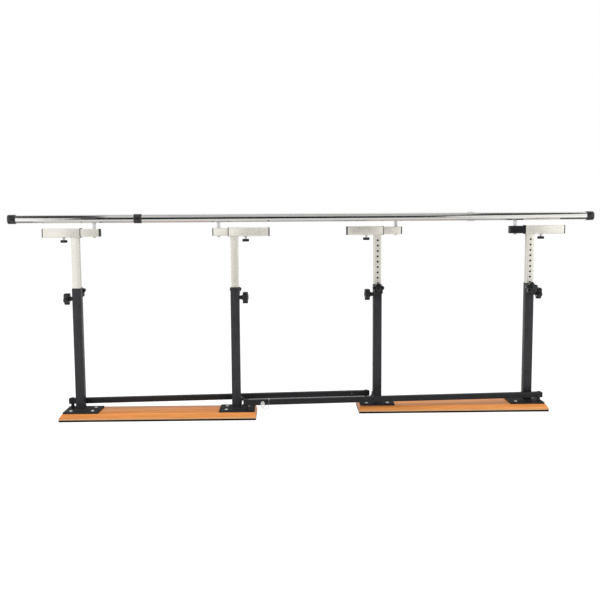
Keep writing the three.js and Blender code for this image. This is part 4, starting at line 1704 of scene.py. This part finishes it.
@dataclass(frozen=True)
class LinkBar:
    """Black square bar that joins the boards, with its lock pin and lanyard."""

    lane: Lane
    corner: float = 2.5
    wall: float = 2
    bore_corner: float = 1
    past_pivot: float = 15  # From a pivot to the bar's end
    plug_size: float = 21.4
    plug_corner: float = 1.2
    plug_depth: float = 5.9  # How far it reaches into the bar
    # Height and share of the outline of each ring of the plug
    plug_face: Profile = ((0, 1.0), (5.4, 1.0), (5.9, 0.95), (6.0, 0.8))
    # Radius and height of each point of the lanyard's rivet
    rivet: Profile = ((0, -1), (4, -1), (4, 0.5), (3.3, 1.4), (1.8, 1.9), (0, 2))
    stroke: float = 13  # How far the lock pin stands out
    pin_tip: float = 3.2
    pin_chamfer: float = 0.8
    collar_radius: float = 9
    collar_height: float = 4
    neck_radius: float = 4.5
    neck_top: float = 11  # From the collar's foot to the neck's end
    ring_height: float = 7.5  # From the collar's foot to the pull ring
    ring_radius: float = 8
    ring_wire: float = 1.5

    @property
    def place(self) -> Matrix:
        """Carries the bar's own place to the shared frame."""
        x = SIZES.post_spacing / 2 + SIZES.link_pivot_x
        sign = 1 if self.lane is Lane.FRONT else -1
        return bar_place(SIZES.shift_x + sign * x, -sign * SIZES.plate_bolt_y, self.lane)

    def build(self, shop: Workshop) -> None:
        """Makes the bar, its pin and its lanyard.

        Args:
            shop: Where the pieces are made.
        """
        size, half = SIZES.link_size, SIZES.link_span / 2 + self.past_pivot
        bar, bore = Solid(), SIZES.link_size - 2 * self.wall
        bar.tube(rounded_square(size, self.corner), rounded_square(bore, self.bore_corner),
                 2 * half, (-half, 0, SIZES.link_z), Axis.PLUS_X, edge=0.4)
        plug = rounded_square(self.plug_size, self.plug_corner)
        for sign in (-1, 1):
            bar.loft([ring(plug, z, share) for z, share in self.plug_face],
                     (sign * (half - self.plug_depth), 0, SIZES.link_z), Axis.along_x(sign),
                     material=1)
        bar.lathe(self.rivet, (SIZES.link_span / 2 - SIZES.rivet_offset, 0, SIZES.link_top),
                  steps=28, material=2)
        shop.publish(bar, f"link_tube_{self.lane}", self.place, [BAR_COAT, PLASTIC, ZINC],
                     f"link_{self.lane}", f"link_bar_{self.lane}")
        self._pin(shop)
        Lanyard(self.lane, self.place).build(shop)

    def _pin(self, shop: Workshop) -> None:
        """Makes the lock pin: a shank, a collar, a neck and a pull ring.

        Args:
            shop: Where the piece is made.
        """
        pin, face, shank = Solid(), SIZES.link_size / 2, SIZES.screw_radius
        x = SIZES.link_span / 2 - SIZES.lock_offset
        head = face + SIZES.seat_gap + self.stroke
        collar, neck, end = head + self.collar_height, self.neck_radius, head + self.neck_top
        pin.lathe([(0, -face), (self.pin_tip, -face), (shank, -face + self.pin_chamfer),
                   (shank, head), (self.collar_radius, head), (self.collar_radius, collar),
                   (neck, collar), (neck, end), (0, end)], (x, 0, SIZES.link_z), Axis.PLUS_Y,
                  steps=36, edge=0.3)
        pin.lathe(hoop(self.ring_radius, self.ring_wire, 14),
                  (x, head + self.ring_height, SIZES.link_z - self.ring_radius), Axis.PLUS_Y,
                  steps=40, closed=True)
        shop.publish(pin, f"lock_pull_{self.lane}", self.place, [ZINC], f"pin_{self.lane}",
                     f"lock_pin_{self.lane}")


@dataclass(frozen=True)
class Lanyard:
    """Twisted wire rope from a lock pin's ring to its rivet, with a crimped loop at each end."""

    lane: Lane
    place: Matrix
    radius: float = 1.0
    twist: float = 1.1  # How far the rope turns on each millimetre, in radians
    strands: int = 3
    sides: int = 12
    groove: float = 0.07  # Half the depth between the strands, as a share of the radius
    smoothing: int = 6  # Points of the line for each point of the route
    loop_wire: float = 0.8
    ring_loop: float = 2.4
    # Middle of that loop, away from the bar and up
    ring_height: tuple[float, float] = (33.3, 52.9)
    rivet_loop: float = 4.9
    rivet_height: float = 84.0
    # Radius and height of each point of a crimp sleeve
    crimp: Profile = ((0, 0), (1.5, 0), (1.9, 0.4), (1.9, 2.4), (1.6, 2.9), (1.6, 3.4),
                      (1.9, 3.9), (1.9, 5.8), (1.5, 6.2), (0, 6.2))
    # Points along the bar from its middle, away from it and up, from the ring on
    route: tuple[Point, ...] = (
        (-72.0, 33.3, 52.3), (-72.2, 33.2, 49.4), (-74.0, 32.8, 46.0), (-77.4, 31.6, 43.6),
        (-82.0, 29.2, 42.5), (-87.0, 26.0, 42.2), (-92.0, 22.2, 42.9), (-96.2, 18.8, 45.2),
        (-99.0, 16.4, 49.0), (-100.4, 15.0, 54.2), (-101.0, 14.4, 60.4), (-101.2, 14.4, 67.0),
        (-101.2, 14.4, 74.0), (-101.1, 14.2, 80.0), (-101.0, 13.0, 83.4), (-101.0, 10.4, 84.6),
        (-101.0, 7.2, 84.2), (-101.0, 4.3, 84.0))

    def _line(self) -> list[Vector]:
        """Smooths the route.

        Returns:
            Points of the wire's centre line, in the bar's own place.
        """
        half = SIZES.link_span / 2
        points = [Vector((half + along, away, up)) for along, away, up in self.route]
        padded = [2 * points[0] - points[1], *points, 2 * points[-1] - points[-2]]
        line = []
        for a, b, c, d in zip(padded, padded[1:], padded[2:], padded[3:], strict=False):
            for step in range(self.smoothing):
                t = step / self.smoothing
                line.append(0.5 * (2 * b + (c - a) * t + (2 * a - 5 * b + 4 * c - d) * t * t
                                   + (3 * b - 3 * c + d - a) * t ** 3))
        line.append(points[-1])
        return line

    def _rope(self, line: list[Vector]) -> Solid:
        """Sweeps the strands' outline along the line, twisting it as it goes.

        Args:
            line: The centre line.

        Returns:
            The rope.
        """
        rope, rings = Solid(), []
        up, walked = Vector((0, 1, 0)), 0.0
        turns = [FULL_TURN * step / self.sides for step in range(self.sides)]
        for number, point in enumerate(line):
            before, after = line[max(number - 1, 0)], line[min(number + 1, len(line) - 1)]
            along = (after - before).normalized()
            up = (up - along * up.dot(along)).normalized()
            side = along.cross(up)
            walked += (point - before).length
            row = []
            for angle in turns:
                turn = angle + walked * self.twist
                share = 1 - self.groove + self.groove * math.cos(self.strands * angle)
                row.append(point + self.radius * share * (math.cos(turn) * up
                                                          + math.sin(turn) * side))
            rings.append(row)
        rope.loft(rings)
        return rope

    def _loop(self, line: list[Vector], centre: Vector, normal: Vector, radius: float) -> Solid:
        """Makes the crimp sleeve at the end of the line and the loop beyond it.

        Args:
            line: The centre line, from this end on.
            centre: The loop's middle.
            normal: The loop's axis.
            radius: The loop's radius.

        Returns:
            The sleeve and its loop.
        """
        loop, sleeve = Solid(), Solid()
        loop.lathe(hoop(radius, self.loop_wire, 10), steps=28, closed=True)
        loop.move(facing(centre, normal))
        sleeve.lathe(self.crimp, steps=20)
        start, further = line[1], line[8]
        sleeve.move(facing(start, (further - start).normalized()))
        loop.absorb(sleeve.data("sleeve"))
        return loop

    def build(self, shop: Workshop) -> None:
        """Args:
            shop: Where the pieces are made.
        """
        line, half = self._line(), SIZES.link_span / 2
        pin, link = f"pin_{self.lane}", f"link_{self.lane}"
        ring_end = self._loop(line, Vector((half - SIZES.lock_offset, *self.ring_height)),
                              Vector((1, 0, 0)), self.ring_loop)
        rivet_end = self._loop(line[::-1],
                               Vector((half - SIZES.rivet_offset, 0, self.rivet_height)),
                               Vector((0, 0, 1)), self.rivet_loop)
        loops = [shop.publish(ring_end, f"wire_loop_ring_{self.lane}", self.place, [ZINC], pin),
                 shop.publish(rivet_end, f"wire_loop_rivet_{self.lane}", self.place, [ZINC], link)]
        rope = shop.publish(self._rope(line), f"wire_rope_{self.lane}", self.place, [WIRE], None,
                            f"lanyard_{self.lane}")
        path = [METRES * (self.place @ point) for point in line]
        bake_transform(rope)


# The stage


@dataclass(frozen=True)
class Card:
    """A plain panel that only mirrors see, in metres.

    Attributes:
        name: The panel's name.
        corner: Where it starts.
        along: Its first side.
        up: Its second side.
        shade: How bright it is, where 1 is white.
    """

    name: str
    corner: Point
    along: Point
    up: Point
    shade: float


@dataclass(frozen=True)
class Lamp:
    """A large soft lamp, in metres.

    Attributes:
        name: The lamp's name.
        place: Where it hangs.
        aim: The point that it faces.
        size: The length of its side.
        power: Its power in watts.
    """

    name: str
    place: Point
    aim: Point
    size: float
    power: float


def grey(shade: float) -> tuple[float, float, float, float]:
    """Returns the colour of a grey, where 1 is white."""
    return shade, shade, shade, 1


def panel(name: str, place: Matrix) -> bpy.types.Object:
    """Adds a flat square to the scene.

    Args:
        name: The name of the square and its mesh.
        place: Carries a square of one metre about the origin to its own size and place.

    Returns:
        The new object.
    """
    mesh = bmesh.new()
    bmesh.ops.create_grid(mesh, x_segments=1, y_segments=1, size=0.5, matrix=place)
    data = bpy.data.meshes.new(name)
    mesh.to_mesh(data)
    mesh.free()
    return add_object(name, data)


def seen_share(nodes: Nodes) -> bpy.types.NodeSocket:
    """Tells whether a ray comes from the camera, a mirror or glass.

    Args:
        nodes: The tree that asks.

    Returns:
        A socket that is 1 for such a ray and 0 for other light.
    """
    path = nodes.add("ShaderNodeLightPath").outputs
    either = nodes.add("ShaderNodeMath", {0: path["Is Camera Ray"], 1: path["Is Glossy Ray"]},
                       operation="MAXIMUM").outputs[0]
    return nodes.add("ShaderNodeMath", {0: either, 1: path["Is Transmission Ray"]},
                     operation="MAXIMUM").outputs[0]


@dataclass(frozen=True)
class Studio:
    """The camera, the lamps, the white floor and the cards that chrome reflects.

    Attributes:
        camera_place: Where the photograph was taken from, in metres.
        yaw: How far the camera is turned to the left, in radians.
        pitch: How far it looks up, in radians.
        roll: How far it is tilted, in radians.
        focal_pixels: Its focal length, in pixels of the photograph.
        picture_pixels: Side of the photograph, in pixels.
        sensor: Width of the camera's sensor, in millimetres.
        even_light: Strength of the light from all sides.
        floor_shade: The floor's own grey, which takes the shadow.
        floor_glow: What the floor adds to it.
        lit_floor: The floor's grey where it throws light on the object.
        floor_side: Side of the floor, in metres.
        floor_drop: How far it lies below the object, in metres.
        lamps: The lamps.
        cards: The cards.
    """

    camera_place: Point = (-0.111105, -3.7421, 0.91737)
    yaw: float = -0.0185674
    pitch: float = -0.1030679
    roll: float = -0.0063881
    focal_pixels: float = 812.156
    picture_pixels: float = 600
    sensor: float = 36
    even_light: float = 0.62
    floor_shade: float = 0.30
    floor_glow: float = 0.86
    lit_floor: float = 0.80
    floor_side: float = 60
    floor_drop: float = 0.0004
    lamps: tuple[Lamp, ...] = (
        Lamp("key", (-1.6, -2.6, 3.4), (0.0, 0.0, 0.5), 2.6, 62),
        Lamp("fill", (2.6, -2.4, 2.2), (0.2, 0.0, 0.5), 2.4, 30),
        Lamp("top", (0.0, 0.6, 3.6), (0.0, 0.0, 0.4), 3.0, 32),
    )
    cards: tuple[Card, ...] = (
        Card("card_wall", (-1.7, -6.0, 0.0), (4.55, 0, 0), (0, 0, 4.0), 0.01),
        Card("card_floor_far", (-1.7, -6.0, 0.002), (4.3, 0, 0), (0, 3.55, 0), 0.015),
        Card("card_wall_high", (-1.7, -6.1, 4.0), (4.0, 0, 0), (0, 0, 2.0), 0.45),
        Card("card_back", (-4.0, 5.5, 0.0), (8.0, 0, 0), (0, 0, 4.0), 0.5),
        Card("card_paper", (-1.42, -2.45, 0.002), (2.9, 0, 0), (0, 2.15, 0), 0.74),
        Card("card_paper_under", (-1.42, -0.3, 0.002), (2.9, 0, 0), (0, 2.2, 0), 0.56),
        Card("card_floor_left", (-2.2, -0.8, 0.002), (0.78, 0, 0), (0, 1.3, 0), 0.30),
        Card("card_floor_right", (1.48, -0.75, 0.002), (0.75, 0, 0), (0, 1.25, 0), 0.12),
        Card("card_ceiling_left", (-1.95, -6.0, 3.0), (0.75, 0, 0), (0, 6.5, 0), 0.06),
        Card("card_ceiling_right", (2.2, -6.0, 3.0), (0.9, 0, 0), (-0.8, 6.5, 0), 0.06),
        Card("card_ceiling_middle", (-1.2, -4.6, 3.02), (3.4, 0.8, 0), (-0.4, 3.2, 0), 0.50),
        Card("card_ceiling_beam", (-1.2, -0.6, 3.02), (3.0, 0, 0), (0, 1.1, 0), 0.32),
    )

    def build(self) -> None:
        """Makes everything round the object."""
        self._camera()
        self._world()
        self._floor()
        for card in self.cards:
            self._card(card)
        for lamp in self.lamps:
            self._lamp(lamp)

    def _camera(self) -> None:
        """Puts the camera where the photograph was taken from."""
        data = bpy.data.cameras.new("camera")
        data.sensor_width = self.sensor
        data.lens = self.sensor * self.focal_pixels / self.picture_pixels
        camera = add_object("camera", data)
        forward = Vector((-math.sin(self.yaw) * math.cos(self.pitch),
                          math.cos(self.yaw) * math.cos(self.pitch), math.sin(self.pitch)))
        right = Vector((math.cos(self.yaw), math.sin(self.yaw), 0))
        up = right.cross(forward)
        across = math.cos(self.roll) * right + math.sin(self.roll) * up
        above = -math.sin(self.roll) * right + math.cos(self.roll) * up
        basis = Matrix((across, above, -forward)).transposed()
        camera.matrix_world = Matrix.Translation(self.camera_place) @ basis.to_4x4()
        bpy.context.scene.camera = camera

    def _world(self) -> None:
        """Lights the object evenly, and shows plain white to the camera and to mirrors."""
        world = bpy.data.worlds.new("white_room")
        world.use_nodes = True
        world.node_tree.nodes.clear()
        nodes = Nodes(world.node_tree)
        even, white = (nodes.add("ShaderNodeBackground", {"Color": grey(1), "Strength": strength})
                       for strength in (self.even_light, 1.0))
        mixed = nodes.add("ShaderNodeMixShader", {0: seen_share(nodes), 1: even.outputs[0],
                                                  2: white.outputs[0]})
        nodes.add("ShaderNodeOutputWorld", {"Surface": mixed.outputs[0]})
        bpy.context.scene.world = world

    def _floor(self) -> None:
        """Lays the white floor, which keeps a soft shadow of the object."""
        floor = panel("floor", Matrix.Translation((0, 0, -self.floor_drop))
                      @ Matrix.Scale(self.floor_side, 4))
        material, nodes = new_material("white_floor")
        matt = nodes.add("ShaderNodeBsdfPrincipled", {
            "Base Color": grey(self.floor_shade), "Roughness": 0.9, "Specular IOR Level": 0.0})
        glow = nodes.add("ShaderNodeEmission", {"Color": grey(1), "Strength": self.floor_glow})
        both = nodes.add("ShaderNodeAddShader", {0: matt.outputs[0], 1: glow.outputs[0]})
        plain = nodes.add("ShaderNodeBsdfDiffuse", {"Color": grey(self.lit_floor)})
        mixed = nodes.add("ShaderNodeMixShader", {0: seen_share(nodes), 1: plain.outputs[0],
                                                  2: both.outputs[0]})
        nodes.add("ShaderNodeOutputMaterial", {"Surface": mixed.outputs[0]})
        floor.data.materials.append(material)

    def _card(self, card: Card) -> None:
        """Hangs one card that only mirrors see.

        Args:
            card: The card.
        """
        corner, along, up = Vector(card.corner), Vector(card.along), Vector(card.up)
        sides = Matrix((along, up, along.cross(up))).transposed().to_4x4()
        sheet = panel(card.name, Matrix.Translation(corner + (along + up) / 2) @ sides)
        sheet.visible_camera = sheet.visible_diffuse = sheet.visible_shadow = False
        material, nodes = new_material(card.name)
        shade = nodes.add("ShaderNodeEmission", {"Color": grey(card.shade), "Strength": 1.0})
        nodes.add("ShaderNodeOutputMaterial", {"Surface": shade.outputs[0]})
        sheet.data.materials.append(material)

    def _lamp(self, lamp: Lamp) -> None:
        """Hangs one lamp, which mirrors don't see.

        Args:
            lamp: The lamp.
        """
        data = bpy.data.lights.new(lamp.name, "AREA")
        data.size, data.energy = lamp.size, lamp.power
        item = add_object(lamp.name, data)
        item.location = lamp.place
        item.rotation_mode = "QUATERNION"
        facing_aim = Vector(lamp.aim) - Vector(lamp.place)
        item.rotation_quaternion = facing_aim.to_track_quat("-Z", "Y")
        item.visible_glossy = False


def main() -> None:
    """Builds the stage and every part in order, and reports each piece."""
    logging.basicConfig(format="%(message)s")
    log.setLevel(logging.INFO)
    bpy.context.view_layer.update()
    bpy.context.scene.view_settings.view_transform = "Standard"
    Studio().build()
    shop = Workshop()
    parts: list[Part] = [BaseBoard(side) for side in Side]
    for post in POSTS:
        parts += [LowerPost(post), UpperPost(post), Arm(post), Controls(post), LinkPivot(post)]
    for lane in Lane:
        parts += [Handrail(lane), LinkBar(lane)]
    for part in parts:
        part.build(shop)
    for piece in shop.pieces:
        log.info("made %s with %d faces", piece.name, len(piece.data.polygons))


if __name__ == "__main__":
    main()
